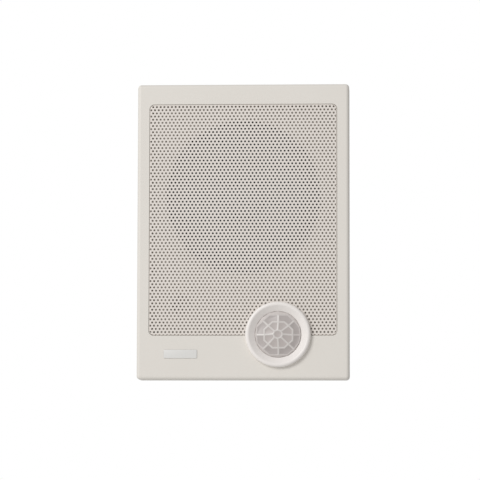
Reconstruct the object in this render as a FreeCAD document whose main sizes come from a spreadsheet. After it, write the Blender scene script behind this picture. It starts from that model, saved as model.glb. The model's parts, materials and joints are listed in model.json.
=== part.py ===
import FreeCAD, Part
import math
import os
import re
import Sketcher

V = FreeCAD.Vector

# Driving sizes, in millimetres and degrees
SIZES = {
    # Front cover
    "window_width": 172.8,
    "window_height": 213.3,
    "window_corner": 4.5,
    "side_margin": 11.05,
    "top_margin": 18.5,
    "bottom_margin": 40.2,
    "case_depth": 88,
    "corner_radius": 3.2,
    "edge_radius": 3,
    "rim_depth": 26,
    "cover_wall": 2.5,
    "recess_depth": 7,
    "recess_wall": 2.5,
    "window_edge": 0.4,
    "floor_thickness": 3,
    # Round cup in the panel
    "cup_diameter": 18,
    "cup_wall": 2,
    "cup_depth": 10,
    "cup_left": 40.45,
    "cup_rise": 68.5,
    # Name plate
    "plate_width": 30.5,
    "plate_height": 7.9,
    "plate_corner": 0.8,
    "plate_thickness": 1.2,
    "plate_recess": 0.6,
    "plate_clearance": 0.1,
    "plate_left": 40.2,
    "plate_rise": 23.3,
    # Grille
    "grille_clearance": 0.2,
    "grille_setback": 0.3,
    "grille_sheet": 0.8,
    "grille_bend": 1.4,
    "hole_pitch": 12,
    "hole_width": 6.8,
    "hole_margin": 2.6,
    # Rear housing
    "lip_clearance": 0.3,
    "lip_overlap": 5,
    "rear_wall": 2.5,
    "rear_draft": 1.5,
    "rear_corner": 5,
    "rear_edge": 2,
    "post_inset_side": 16,
    "post_inset_end": 11,
    "post_diameter": 9.6,
    "boss_diameter": 8,
    "well_diameter": 6.8,
    "well_floor": 3,
    "keyhole_spacing": 100,
    "keyhole_drop": 41,
    "keyhole_entry": 9,
    "keyhole_slot": 4.6,
    "keyhole_travel": 9,
    # Cable grommet
    "grommet_hole": 12,
    "grommet_flange": 2,
    "grommet_lip": 1.5,
    "grommet_bore": 7,
    "grommet_clearance": 0.1,
    "grommet_right": 37.45,
    "grommet_rise": 41,
    # Screws
    "housing_screw": 3,
    "housing_screw_head": 5.6,
    "housing_screw_length": 12,
    "driver_screw": 3.5,
    "driver_screw_head": 6.6,
    "driver_screw_length": 8,
    "board_screw": 2.5,
    "board_screw_head": 4.6,
    "board_screw_length": 6,
    "screw_head_height": 2,
    "screw_clearance": 0.2,
    "hole_clearance": 0.4,
    "recess_bar": 0.9,
    # Driver
    "driver_drop": 85.5,
    "opening_diameter": 142,
    "gasket_thickness": 1.5,
    "flange_diameter": 160,
    "flange_width": 9,
    "flange_screw_edge": 4,
    "basket_sheet": 1.2,
    "basket_depth": 38,
    "surround_seat_depth": 3,
    "surround_seat_width": 5.5,
    "seat_clearance": 0.3,
    "spider_seat_depth": 30,
    "spider_seat_radius": 42,
    "spider_seat_width": 6,
    "basket_base_radius": 34,
    "basket_bore_radius": 16,
    "basket_window_inset": 4,
    "basket_window_angle": 40,
    "basket_windows": 6,
    "driver_boss_diameter": 8,
    "driver_boss_height": 4,
    "surround_thickness": 0.8,
    "roll_width": 6,
    "roll_radius": 3.3,
    "glue_width": 2.6,
    "cone_thickness": 0.8,
    "cone_depth": 20,
    "neck_height": 1,
    "cap_radius": 17,
    "cap_rise": 6,
    "cap_thickness": 0.8,
    "cap_lip": 2,
    "former_radius": 12.9,
    "former_wall": 0.4,
    "former_length": 26,
    "former_stub": 1,
    "winding_thickness": 0.6,
    "winding_length": 9.5,
    "spider_thickness": 0.6,
    "spider_wave": 1.2,
    "spider_lip": 2.5,
    "coil_gap": 0.6,
    "pole_gap": 0.5,
    "top_plate_radius": 36,
    "top_plate_thickness": 5,
    "magnet_radius": 40,
    "magnet_bore": 17,
    "magnet_thickness": 14,
    "yoke_radius": 37,
    "yoke_thickness": 5,
    "strip_width": 24,
    "strip_height": 4.5,
    "strip_thickness": 1.6,
    "strip_clearance": 0.3,
    "tag_width": 4,
    "tag_thickness": 0.6,
    "tag_length": 8,
    "tag_spacing": 12,
    # Motion sensor
    "sensor_right": 65.25,
    "sensor_overhang": 1,
    "seat_diameter": 56,
    "bore_diameter": 49.4,
    "barrel_clearance": 0.3,
    "barrel_wall": 2,
    "barrel_length": 26,
    "ring_diameter": 60.4,
    "ring_height": 4.75,
    "ring_taper": 0.3,
    "ring_shoulder": 2.7,
    "ring_crest": 3.3,
    "ring_round": 2.3,
    "lens_diameter": 42.6,
    "lens_lip": 0.8,
    "lip_top": 0.6,
    "lens_fit": 0.2,
    "lens_height": 5.3,
    "lens_thickness": 0.8,
    "lens_flange": 1.1,
    "rib_width": 1,
    "rib_height": 0.35,
    "inner_rib_radius": 4.3,
    "outer_rib_radius": 12.9,
    "sensor_clearance": 0.1,
    "retainer_width": 1.6,
    "retainer_height": 4,
    "cap_pocket": 6,
    "cap_ledge": 1,
    "sensor_board_thickness": 1.6,
    "sensor_cap_wall": 1.5,
    "can_radius": 4.2,
    "can_height": 5,
    "can_flange": 0.7,
    "can_window": 3,
    "nut_width": 4,
    "nut_height": 6,
    "nut_notch": 4,
    "nut_notches": 8,
    # Main board
    "board_left": 28,
    "board_rise": 44,
    "board_width": 100,
    "board_height": 60,
    "board_thickness": 1.6,
    "board_corner_inset": 5,
    "board_post_height": 6,
    "board_post_diameter": 7,
    "socket_width": 18,
    "socket_depth": 7,
    "socket_height": 8,
    "socket_edge": 8,
    "sensor_socket_width": 10,
    "sensor_socket_edge": 14,
    "sink_width": 44,
    "sink_height": 24,
    "sink_base": 3,
    "sink_fin": 1.6,
    "sink_fin_length": 11,
    "sink_edge": 4,
    "chip_width": 10,
    "chip_depth": 4.5,
    "chip_height": 16,
    "capacitor_diameter": 12,
    "capacitor_height": 20,
    "capacitor_edge": 1,
    "capacitor_pitch": 16,
    "capacitor_left": 14,
    "capacitor_rise": 12,
    "terminal_width": 20,
    "terminal_depth": 12,
    "terminal_height": 12,
    "terminal_edge": 8,
    "terminal_hole": 4,
    "lead_diameter": 2.2,
    "sensor_lead_diameter": 3.6,
    "lead_bend": 6,
}

# Sizes that follow from the driving ones
DERIVED = {
    "case_width": "window_width + 2*side_margin",
    "case_height": "window_height + top_margin + bottom_margin",
    "window_up": "bottom_margin/2 - top_margin/2",
    "rim_back": "case_depth - rim_depth",
    "floor_front": "case_depth - recess_depth",
    "floor_back": "floor_front - floor_thickness",
    "plate_back": "case_depth - cover_wall",
    "cavity_width": "case_width - 2*cover_wall",
    "cavity_height": "case_height - 2*cover_wall",
    "cavity_corner": "corner_radius - cover_wall*0.6",
    "rear_front": "rim_back + lip_overlap",
    "rear_width": "cavity_width - 2*lip_clearance",
    "rear_height": "cavity_height - 2*lip_clearance",
    "post_across": "case_width/2 - post_inset_side",
    "post_up": "case_height/2 - post_inset_end",
    "well_end": "rear_front - well_floor",
    "driver_up": "case_height/2 - top_margin - driver_drop",
    "driver_face": "floor_back - gasket_thickness",
    "screw_circle": "flange_diameter/2 - flange_screw_edge",
    "flange_inner": "flange_diameter/2 - flange_width",
    "seat_inner": "flange_inner - surround_seat_width",
    "roll_inner": "seat_inner - roll_width",
    "cone_edge": "roll_inner - glue_width",
    "neck_depth": "surround_seat_depth + cone_depth",
    "cone_slope": "cone_depth/(cone_edge - former_radius)",
    "spider_seat_inner": "spider_seat_radius - spider_seat_width",
    "plate_front": "basket_depth + basket_sheet",
    "magnet_front": "plate_front + top_plate_thickness",
    "magnet_back": "magnet_front + magnet_thickness",
    "coil_middle": "plate_front + top_plate_thickness/2",
    "winding_radius": "former_radius + winding_thickness",
    "former_inner": "former_radius - former_wall",
    "strip_radius": "flange_inner + basket_sheet + strip_clearance + strip_height/2",
    "sensor_across": "case_width/2 - sensor_right",
    "sensor_up": "bottom_margin + sensor_overhang - case_height/2",
    "cup_across": "cup_left - case_width/2",
    "cup_up": "cup_rise - case_height/2",
    "plate_across": "plate_left - case_width/2",
    "plate_up": "plate_rise - case_height/2",
    "grommet_across": "case_width/2 - grommet_right",
    "grommet_up": "grommet_rise - case_height/2",
    "keyhole_up": "case_height/2 - keyhole_drop",
    "grille_front": "case_depth - grille_setback",
    "grille_width": "window_width - 2*grille_clearance",
    "grille_height": "window_height - 2*grille_clearance",
    "grille_corner": "window_corner - grille_clearance",
    "notch_diameter": "seat_diameter + 2*grille_clearance",
    "barrel_radius": "bore_diameter/2 - barrel_clearance",
    "barrel_inner": "barrel_radius - barrel_wall",
    "pocket_radius": "barrel_inner + cap_ledge",
    "lens_edge": "lens_diameter/2 - lens_fit",
    "lens_seat": "lip_top - lens_lip",
    "lens_sphere": "(lens_edge^2 + lens_height^2)/(2*lens_height)",
    "lens_centre": "lens_seat + lens_height - lens_sphere",
    "lens_inside": "lens_sphere - lens_thickness",
    "lens_back": "lens_seat - lens_flange",
    "board_seat": "cap_pocket - barrel_length",
    "board_back": "board_seat - sensor_board_thickness",
    "board_across": "board_left + board_width/2 - case_width/2",
    "board_up": "board_rise - case_height/2",
    "board_low": "rear_wall + board_post_height",
    "board_front": "board_low + board_thickness",
    "socket_top": "board_front + socket_height",
    "socket_up": "board_up + board_height/2 - socket_edge",
    "sensor_socket_across": "board_across + board_width/2 - sensor_socket_edge",
    "hole_across": "board_width/2 - board_corner_inset",
    "hole_up": "board_height/2 - board_corner_inset",
}

# Turns a piece drawn in front view, X right, Y up and Z out of the wall, into the part's frame
FRONT_VIEW = FreeCAD.Rotation(V(1, 0, 0), 90)

doc = FreeCAD.newDocument("wall_speaker")
sheet = doc.addObject("Spreadsheet::Sheet", "Sizes")
for row, (size_name, size_value) in enumerate(SIZES.items(), start=1):
    sheet.set(f"A{row}", size_name)
    sheet.set(f"B{row}", str(size_value))
    sheet.setAlias(f"B{row}", size_name)
gauge = doc.addObject("App::FeaturePython", "Gauge")
gauge.addProperty("App::PropertyFloat", "Reading")
doc.recompute()
pieces = []


def linked(formula):
    """Writes a formula of size names in terms of the sheet's cells."""
    def cell(found):
        name = found[0]
        if name in DERIVED:
            return f"({linked(DERIVED[name])})"
        return f"Sizes.{name}" if name in SIZES else name
    return re.sub(r"[a-z_]+", cell, formula)


def bind(target, path, formula):
    """Binds a property of an object to a formula of sizes."""
    target.setExpression(path, linked(formula))


def number(formula):
    """Reads the present value of a formula of sizes."""
    bind(gauge, "Reading", formula)
    gauge.recompute()
    return gauge.Reading


def settle(piece, across, up, out):
    """Places a piece drawn in front view, with its origin bound to sizes."""
    piece.Placement = FreeCAD.Placement(V(), FRONT_VIEW)
    bind(piece, "Placement.Base.x", across)
    bind(piece, "Placement.Base.y", f"-({out})")
    bind(piece, "Placement.Base.z", up)


def keep(piece, label):
    """Names a finished sub-part and lists it for export."""
    piece.Label = label
    pieces.append(piece)
    return piece


def new_body(name, across="0", up="0", out="0"):
    """Starts a body whose own Z axis points out of the wall."""
    made = doc.addObject("PartDesign::Body", name)
    settle(made, across, up, out)
    return made


def sketch(body, role="XY_Plane", across="0", up="0", out="0"):
    """Starts a sketch on one of the body's origin planes."""
    made = body.newObject("Sketcher::SketchObject", f"{body.Name}_sketch")
    plane = next(item for item in body.Origin.OriginFeatures if item.Role == role)
    made.AttachmentSupport = [(plane, "")]
    made.MapMode = "FlatFace"
    for axis, formula in zip("xyz", (across, up, out)):
        bind(made, f"AttachmentOffset.Base.{axis}", formula)
    return made


def locate(drawing, item, spot, across, up):
    """Binds a point of a sketch to its distances from the sketch's origin."""
    for kind, formula in (("DistanceX", across), ("DistanceY", up)):
        index = drawing.addConstraint(Sketcher.Constraint(kind, -1, 1, item, spot, 1.0))
        bind(drawing, f"Constraints[{index}]", formula)


def outline(drawing, corners, arcs=None):
    """Draws a closed outline; arcs maps a side to its radius and its bulge to the right, as a share."""
    arcs = arcs or {}
    marks = []
    for index, (across, up) in enumerate(corners):
        marks.append(drawing.addGeometry(Part.Point(V(index + 1, index * index + 1, 0)), True))
        locate(drawing, marks[-1], 1, across, up)
    drawing.recompute()
    spots = [drawing.getPoint(mark, 1) for mark in marks]
    for index, start in enumerate(spots):
        following = (index + 1) % len(spots)
        end = spots[following]
        if index in arcs:
            radius, bulge = arcs[index]
            side = end - start
            middle = (start + end) * 0.5 + V(side.y, -side.x, 0) * bulge
            edge = drawing.addGeometry(Part.Arc(start, middle, end), False)
            swapped = drawing.getPoint(edge, 1).distanceToPoint(start) > 1e-6
        else:
            edge = drawing.addGeometry(Part.LineSegment(start, end), False)
            swapped = False
        ends = (2, 1) if swapped else (1, 2)
        drawing.addConstraint(Sketcher.Constraint("Coincident", edge, ends[0], marks[index], 1))
        drawing.addConstraint(Sketcher.Constraint("Coincident", edge, ends[1], marks[following], 1))
        if index in arcs:
            size = drawing.addConstraint(Sketcher.Constraint("Radius", edge, drawing.Geometry[edge].Radius))
            bind(drawing, f"Constraints[{size}]", radius)
    return drawing


def rectangle(drawing, width, height, across="0", up="0", corner=None):
    """Draws a rectangle about a centre, with rounded corners if a radius is given."""
    half_w, half_h = f"({width})/2", f"({height})/2"
    if corner is None:
        signs = ((-1, -1), (1, -1), (1, 1), (-1, 1))
        return outline(drawing, [(f"{across} + {a}*{half_w}", f"{up} + {b}*{half_h}") for a, b in signs])
    near_w, near_h = f"({half_w} - ({corner}))", f"({half_h} - ({corner}))"
    steps = (
        (-1, near_w, -1, half_h), (1, near_w, -1, half_h), (1, half_w, -1, near_h), (1, half_w, 1, near_h),
        (1, near_w, 1, half_h), (-1, near_w, 1, half_h), (-1, half_w, 1, near_h), (-1, half_w, -1, near_h),
    )
    corners = [(f"{across} + {a}*{w}", f"{up} + {b}*{h}") for a, w, b, h in steps]
    return outline(drawing, corners, {side: (corner, 0.2) for side in (1, 3, 5, 7)})


def circle(drawing, diameter, across="0", up="0"):
    """Draws a circle about a bound centre."""
    ring = drawing.addGeometry(Part.Circle(V(1, 1, 0), V(0, 0, 1), 2), False)
    locate(drawing, ring, 3, across, up)
    size = drawing.addConstraint(Sketcher.Constraint("Diameter", ring, 4))
    bind(drawing, f"Constraints[{size}]", diameter)
    return drawing


def pad(body, drawing, length, backward=False, draft=None):
    """Extrudes a sketch away from the wall, or towards it."""
    made = body.newObject("PartDesign::Pad", f"{body.Name}_pad")
    made.Profile = drawing
    made.Reversed = backward
    bind(made, "Length", length)
    if draft:
        bind(made, "TaperAngle", draft)
    return made


def pocket(body, drawing, length, forward=False, draft=None):
    """Cuts a sketch towards the wall, or away from it."""
    made = body.newObject("PartDesign::Pocket", f"{body.Name}_pocket")
    made.Profile = drawing
    made.Reversed = forward
    bind(made, "Length", length)
    if draft:
        bind(made, "TaperAngle", draft)
    return made


def turned(body, corners, arcs=None):
    """Revolves a half section, given as radius and height, about the body's Z axis."""
    drawing = outline(sketch(body, "XZ_Plane"), corners, arcs)
    made = body.newObject("PartDesign::Revolution", f"{body.Name}_turned")
    made.Profile = drawing
    made.ReferenceAxis = (drawing, ["V_Axis"])
    made.Angle = 360
    return made


def around(body, feature, drawing, count):
    """Repeats a feature evenly about its sketch's normal."""
    made = body.newObject("PartDesign::PolarPattern", f"{body.Name}_around")
    made.Originals = [feature]
    made.Axis = (drawing, ["N_Axis"])
    made.Angle = 360
    bind(made, "Occurrences", count)
    body.Tip = made
    return made


def level_edges(feature, out, reach="case_width"):
    """Names the edges of a feature that lie at one height above the wall, within a reach to either side."""
    level = number(out)
    limit = number(reach) + 1e-4
    names = []
    for index, edge in enumerate(feature.Shape.Edges, start=1):
        box = edge.BoundBox
        flat = abs(box.ZMin - level) < 1e-4 and abs(box.ZMax - level) < 1e-4
        if flat and -limit < box.XMin and box.XMax < limit:
            names.append(f"Edge{index}")
    return names


def fillet(body, feature, names, radius):
    """Rounds named edges of a feature."""
    made = body.newObject("PartDesign::Fillet", f"{body.Name}_fillet")
    made.Base = (feature, names)
    bind(made, "Radius", radius)
    return made


def ring(name, label, inner, outer, low, high, across, up, out):
    """Makes a plain ring, or a disc where the inner radius is nought, between two heights."""
    body = new_body(name, across, up, out)
    turned(body, [(inner, low), (outer, low), (outer, high), (inner, high)])
    return keep(body, label)


def block(label, across, up, out, width, height, depth):
    """Makes a plain block about a centre, standing out from a height above the wall."""
    made = doc.addObject("Part::Box", label)
    settle(made, f"{across} - ({width})/2", f"{up} - ({height})/2", out)
    bind(made, "Length", width)
    bind(made, "Width", height)
    bind(made, "Height", depth)
    return keep(made, label)


def copies(label, source, spots, turned_over=False):
    """Groups like solids at places given in front view."""
    solids = []
    for spot in spots:
        solid = source.Tip.Shape.copy()
        if turned_over:
            solid.rotate(V(), V(1, 0, 0), 180)
        solid.translate(V(*spot))
        solids.append(solid)
    group = doc.addObject("Part::Feature", label)
    group.Shape = Part.makeCompound(solids)
    group.Placement = FreeCAD.Placement(V(), FRONT_VIEW)
    return keep(group, label)


def four_corners(across, up):
    """Lists four places about the origin."""
    return [(a * number(across), b * number(up)) for a in (-1, 1) for b in (-1, 1)]


def screw(name, diameter, head, length):
    """Makes a pan-head screw with a cross recess, its head's top at the origin and its shank along Z."""
    body = new_body(name)
    turned(body, [
        ("0", "0"), (f"{head}/2 - 0.6", "0"), (f"{head}/2", "0.8"), (f"{head}/2", "screw_head_height"),
        (f"{diameter}/2", "screw_head_height"), (f"{diameter}/2", f"screw_head_height + {length} - 1"),
        (f"{diameter}/2 - 0.7", f"screw_head_height + {length}"), ("0", f"screw_head_height + {length}"),
    ])
    for width, height in ((f"{head}*0.55", "recess_bar"), ("recess_bar", f"{head}*0.55")):
        pocket(body, rectangle(sketch(body), width, height), "screw_head_height*0.6", forward=True)
    doc.recompute()
    return body


def front_cover():
    """Moulded frame with the recessed speaker panel, sensor seat, round cup and screw bosses."""
    body = new_body("front_cover")
    case = rectangle(sketch(body, out="rim_back"), "case_width", "case_height", corner="corner_radius")
    shell = pad(body, case, "rim_depth")
    doc.recompute()
    fillet(body, shell, level_edges(shell, "case_depth"), "edge_radius")
    cavity = rectangle(sketch(body, out="rim_back"), "cavity_width", "cavity_height", corner="cavity_corner")
    pocket(body, cavity, "floor_back - rim_back", forward=True)
    channel = sketch(body, out="floor_back")
    rectangle(channel, "cavity_width", "cavity_height", corner="cavity_corner")
    rectangle(channel, "window_width + 2*recess_wall", "window_height + 2*recess_wall", up="window_up",
              corner="window_corner + recess_wall")
    pocket(body, channel, "plate_back - floor_back", forward=True)
    window = rectangle(sketch(body, out="case_depth"), "window_width", "window_height", up="window_up",
                       corner="window_corner")
    recess = pocket(body, window, "recess_depth")
    doc.recompute()
    fillet(body, recess, level_edges(recess, "case_depth", "window_width/2"), "window_edge")
    cover_sensor_seat(body)
    cover_driver_seat(body)
    cover_cup(body)
    plate = rectangle(sketch(body, out="case_depth"), "plate_width + 2*plate_clearance",
                      "plate_height + 2*plate_clearance", "plate_across", "plate_up",
                      "plate_corner + plate_clearance")
    pocket(body, plate, "plate_recess")
    cover_bosses(body)
    return keep(body, "front_cover")


def cover_sensor_seat(body):
    """Round seat that carries the sensor's barrel."""
    seat = circle(sketch(body, out="floor_back"), "seat_diameter", "sensor_across", "sensor_up")
    pad(body, seat, "case_depth - floor_back")
    bore = circle(sketch(body, out="case_depth"), "bore_diameter", "sensor_across", "sensor_up")
    pocket(body, bore, "case_depth - floor_back")


def cover_driver_seat(body):
    """Driver opening and the blind bosses that take the driver's screws."""
    opening = circle(sketch(body, out="floor_front"), "opening_diameter", up="driver_up")
    pocket(body, opening, "floor_thickness")
    bosses = sketch(body, up="driver_up", out="floor_front")
    pilots = sketch(body, up="driver_up", out="floor_back")
    for angle in (45, 135, 225, 315):
        spot = (f"screw_circle*cos({angle})", f"screw_circle*sin({angle})")
        circle(bosses, "driver_boss_diameter", *spot)
        circle(pilots, "driver_screw + screw_clearance", *spot)
    pad(body, bosses, "driver_boss_height")
    pocket(body, pilots, "floor_thickness + driver_boss_height - 1", forward=True)


def cover_cup(body):
    """Blind round cup sunk into the panel at the lower left."""
    back = circle(sketch(body, out="floor_back"), "cup_diameter + 2*cup_wall", "cup_across", "cup_up")
    pad(body, back, "cup_depth + cup_wall - floor_thickness", backward=True)
    mouth = circle(sketch(body, out="floor_front"), "cup_diameter", "cup_across", "cup_up")
    pocket(body, mouth, "cup_depth")


def cover_bosses(body):
    """Corner bosses that take the housing screws."""
    bosses = sketch(body, out="rear_front")
    pilots = sketch(body, out="rear_front")
    for a in (-1, 1):
        for b in (-1, 1):
            circle(bosses, "boss_diameter", f"{a}*post_across", f"{b}*post_up")
            circle(pilots, "housing_screw + screw_clearance", f"{a}*post_across", f"{b}*post_up")
    pad(body, bosses, "plate_back - rear_front")
    pocket(body, pilots, "plate_back - rear_front", forward=True)


def name_plate():
    """Bare raised plate in its recess."""
    body = new_body("name_plate", "plate_across", "plate_up", "case_depth - plate_recess")
    plate = rectangle(sketch(body), "plate_width", "plate_height", corner="plate_corner")
    pad(body, plate, "plate_thickness")
    return keep(body, "name_plate")


def grille():
    """Pressed tray of perforated sheet, notched around the sensor."""
    body = new_body("grille_tray")
    edge = rectangle(sketch(body, up="window_up", out="floor_front"), "grille_width", "grille_height",
                     corner="grille_corner")
    tray = pad(body, edge, "grille_front - floor_front")
    doc.recompute()
    fillet(body, tray, level_edges(tray, "grille_front"), "grille_bend")
    inside = rectangle(sketch(body, up="window_up", out="floor_front"), "grille_width - 2*grille_sheet",
                       "grille_height - 2*grille_sheet", corner="grille_corner - grille_sheet")
    hollow = pocket(body, inside, "grille_front - grille_sheet - floor_front", forward=True)
    doc.recompute()
    fillet(body, hollow, level_edges(hollow, "grille_front - grille_sheet"), "grille_bend - grille_sheet*0.9")
    notch = circle(sketch(body, out="floor_front"), "notch_diameter", "sensor_across", "sensor_up")
    pocket(body, notch, "recess_depth", forward=True)
    made = doc.addObject("Part::Cut", "grille")
    made.Base = body
    made.Tool = perforation()
    return keep(made, "grille")


def perforation():
    """Staggered six-sided holes over the flat of the grille, clear of its edges and of the sensor."""
    pitch = number("hole_pitch")
    corner = number("hole_width") / math.sqrt(3)
    half_w = number("grille_width/2 - hole_margin") - corner
    half_h = number("grille_height/2 - hole_margin") - corner
    middle = number("window_up")
    low = number("grille_front - grille_sheet") - 1
    sensor = V(number("sensor_across"), number("sensor_up"), 0)
    clear = number("notch_diameter/2 + hole_margin") + corner
    row_pitch = pitch * math.sqrt(3) / 2
    rows = int(2 * half_h / row_pitch) + 1
    most = int(2 * half_w / pitch) + 1
    turns = [math.radians(60 * step) for step in range(7)]
    hexagon = [V(corner * math.sin(turn), corner * math.cos(turn), low) for turn in turns]
    prisms = []
    for row in range(rows):
        columns = most - row % 2
        for column in range(columns):
            centre = V((column - (columns - 1) / 2) * pitch, middle + (row - (rows - 1) / 2) * row_pitch, 0)
            if centre.distanceToPoint(sensor) < clear:
                continue
            face = Part.Face(Part.makePolygon([centre + point for point in hexagon]))
            prisms.append(face.extrude(V(0, 0, number("grille_sheet") + 2)))
    tool = doc.addObject("Part::Feature", "grille_holes")
    tool.Shape = Part.makeCompound(prisms)
    tool.Placement = FreeCAD.Placement(V(), FRONT_VIEW)
    return tool


def rear_housing():
    """Drafted tub with screw wells, board posts, keyholes and the cable hole."""
    body = new_body("rear_housing")
    tub = rectangle(sketch(body, out="rear_front"), "rear_width", "rear_height", corner="rear_corner")
    box = pad(body, tub, "rear_front", backward=True, draft="-rear_draft")
    doc.recompute()
    fillet(body, box, level_edges(box, "0"), "rear_edge")
    inside = sketch(body, out="rear_front")
    rectangle(inside, "rear_width - 2*rear_wall", "rear_height - 2*rear_wall",
              corner="rear_corner - rear_wall*0.6")
    pocket(body, inside, "rear_front - rear_wall", draft="-rear_draft")
    housing_posts(body)
    housing_keyholes(body)
    hole = circle(sketch(body), "grommet_hole", "grommet_across", "grommet_up")
    pocket(body, hole, "rear_wall", forward=True)
    return keep(body, "rear_housing")


def housing_posts(body):
    """Screw wells in the corners and posts for the main board."""
    posts = sketch(body, out="rear_wall")
    wells = sketch(body)
    holes = sketch(body, out="well_end")
    stands = sketch(body, out="rear_wall")
    pilots = sketch(body, out="board_low")
    for a in (-1, 1):
        for b in (-1, 1):
            corner = (f"{a}*post_across", f"{b}*post_up")
            circle(posts, "post_diameter", *corner)
            circle(wells, "well_diameter", *corner)
            circle(holes, "housing_screw + hole_clearance", *corner)
            stand = (f"board_across + {a}*hole_across", f"board_up + {b}*hole_up")
            circle(stands, "board_post_diameter", *stand)
            circle(pilots, "board_screw + screw_clearance", *stand)
    pad(body, posts, "rear_front - rear_wall")
    pocket(body, wells, "well_end", forward=True)
    pocket(body, holes, "well_floor", forward=True)
    pad(body, stands, "board_post_height")
    pocket(body, pilots, "board_post_height")


def housing_keyholes(body):
    """Two keyholes that hang the speaker on wall screws."""
    entries = sketch(body)
    slots = sketch(body)
    tops = sketch(body)
    for a in (-1, 1):
        across = f"{a}*keyhole_spacing/2"
        circle(entries, "keyhole_entry", across, "keyhole_up")
        rectangle(slots, "keyhole_slot", "keyhole_travel", across, "keyhole_up + keyhole_travel/2")
        circle(tops, "keyhole_slot", across, "keyhole_up + keyhole_travel")
    for drawing in (entries, slots, tops):
        pocket(body, drawing, "rear_wall", forward=True)


def cable_grommet():
    """Grooved ring that lines the cable hole."""
    body = new_body("cable_grommet", "grommet_across", "grommet_up")
    hole = "(grommet_hole/2 - grommet_clearance)"
    turned(body, [
        ("grommet_bore/2", "0"), (hole, "0"), (hole, "rear_wall"), (f"{hole} + grommet_flange", "rear_wall"),
        (f"{hole} + grommet_flange", "rear_wall + grommet_lip"),
        ("grommet_bore/2", "rear_wall + grommet_lip"),
    ])
    return keep(body, "cable_grommet")


def driver_body(name):
    """Starts a body on the driver's axis, with its origin at the front of the basket's flange."""
    return new_body(name, "0", "driver_up", "driver_face")


def driver_ring(label, inner, outer, front, back):
    """Makes a plain ring on the driver's axis between two depths behind the flange."""
    return ring(label, label, inner, outer, f"-({back})", f"-({front})", "0", "driver_up", "driver_face")


def driver_gasket():
    """Flat ring that seals the basket to the panel."""
    body = driver_body("driver_gasket")
    turned(body, [("flange_inner", "0"), ("flange_diameter/2", "0"),
                  ("flange_diameter/2", "gasket_thickness"), ("flange_inner", "gasket_thickness")])
    pocket(body, flange_holes(body, "0"), "gasket_thickness", forward=True)
    return keep(body, "driver_gasket")


def flange_holes(body, out):
    """Draws the four screw holes of the driver's flange."""
    holes = sketch(body, out=out)
    for angle in (45, 135, 225, 315):
        spot = (f"screw_circle*cos({angle})", f"screw_circle*sin({angle})")
        circle(holes, "driver_screw + hole_clearance", *spot)
    return holes


def driver_basket():
    """Pressed frame with a stepped flange, open legs and a spider seat."""
    body = driver_body("driver_basket")
    turned(body, [
        ("flange_diameter/2", "0"), ("flange_inner", "0"), ("flange_inner", "-surround_seat_depth"),
        ("seat_inner", "-surround_seat_depth"), ("spider_seat_radius", "-spider_seat_depth"),
        ("spider_seat_inner", "-spider_seat_depth"), ("basket_base_radius", "-basket_depth"),
        ("basket_bore_radius", "-basket_depth"), ("basket_bore_radius", "-plate_front"),
        ("basket_base_radius + basket_sheet", "-plate_front"),
        ("spider_seat_inner + basket_sheet", "-spider_seat_depth - basket_sheet"),
        ("spider_seat_radius + basket_sheet/2", "-spider_seat_depth - basket_sheet"),
        ("seat_inner + basket_sheet/2", "-surround_seat_depth - basket_sheet"),
        ("flange_inner + basket_sheet", "-surround_seat_depth - basket_sheet"),
        ("flange_inner + basket_sheet", "-basket_sheet"), ("flange_diameter/2", "-basket_sheet"),
    ])
    pocket(body, flange_holes(body, "0"), "basket_sheet")
    window = sketch(body)
    inner, outer = "(spider_seat_radius + basket_window_inset)", "(seat_inner - basket_window_inset)"
    half = "basket_window_angle/2"
    outline(window, [
        (f"{inner}*cos({half})", f"-{inner}*sin({half})"), (f"{outer}*cos({half})", f"-{outer}*sin({half})"),
        (f"{outer}*cos({half})", f"{outer}*sin({half})"), (f"{inner}*cos({half})", f"{inner}*sin({half})"),
    ], {1: (outer, 0.1), 3: (inner, -0.1)})
    around(body, pocket(body, window, "basket_depth"), window, "basket_windows")
    return keep(body, "driver_basket")


def surround():
    """Half-roll edge between the basket's seat and the cone."""
    body = driver_body("surround")
    front = "-surround_seat_depth + surround_thickness"
    back = "-surround_seat_depth"
    turned(body, [
        ("cone_edge", back), ("roll_inner + surround_thickness", back),
        ("seat_inner - surround_thickness", back),
        ("flange_inner - seat_clearance", back), ("flange_inner - seat_clearance", front),
        ("seat_inner", front), ("roll_inner", front), ("cone_edge", front),
    ], {1: ("roll_radius - surround_thickness", -0.3), 5: ("roll_radius", 0.3)})
    return keep(body, "surround")


def cone():
    """Straight-sided cone with a flat rim and a short neck."""
    body = driver_body("cone")
    turned(body, [
        ("roll_inner", "-surround_seat_depth"), ("cone_edge", "-surround_seat_depth"),
        ("former_radius", "-neck_depth"), ("former_radius", "-neck_depth - neck_height"),
        ("cone_edge", "-surround_seat_depth - cone_thickness"),
        ("roll_inner", "-surround_seat_depth - cone_thickness"),
    ])
    return keep(body, "cone")


def dust_cap():
    """Domed cap glued to the cone over the voice coil."""
    body = driver_body("dust_cap")
    inner = "(cap_radius - cap_thickness)"
    rim = "(cone_slope*(cap_radius - former_radius) - neck_depth)"
    turned(body, [
        ("0", f"{rim} + cap_lip + cap_rise - cap_thickness"), (inner, f"{rim} + cap_lip - cap_thickness"),
        (inner, f"cone_slope*({inner} - former_radius) - neck_depth"), ("cap_radius", rim),
        ("cap_radius", f"{rim} + cap_lip"), ("0", f"{rim} + cap_lip + cap_rise"),
    ], {0: (f"({inner}^2 + cap_rise^2)/(2*cap_rise)", -0.15),
        4: ("(cap_radius^2 + cap_rise^2)/(2*cap_rise)", 0.15)})
    return keep(body, "dust_cap")


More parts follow.
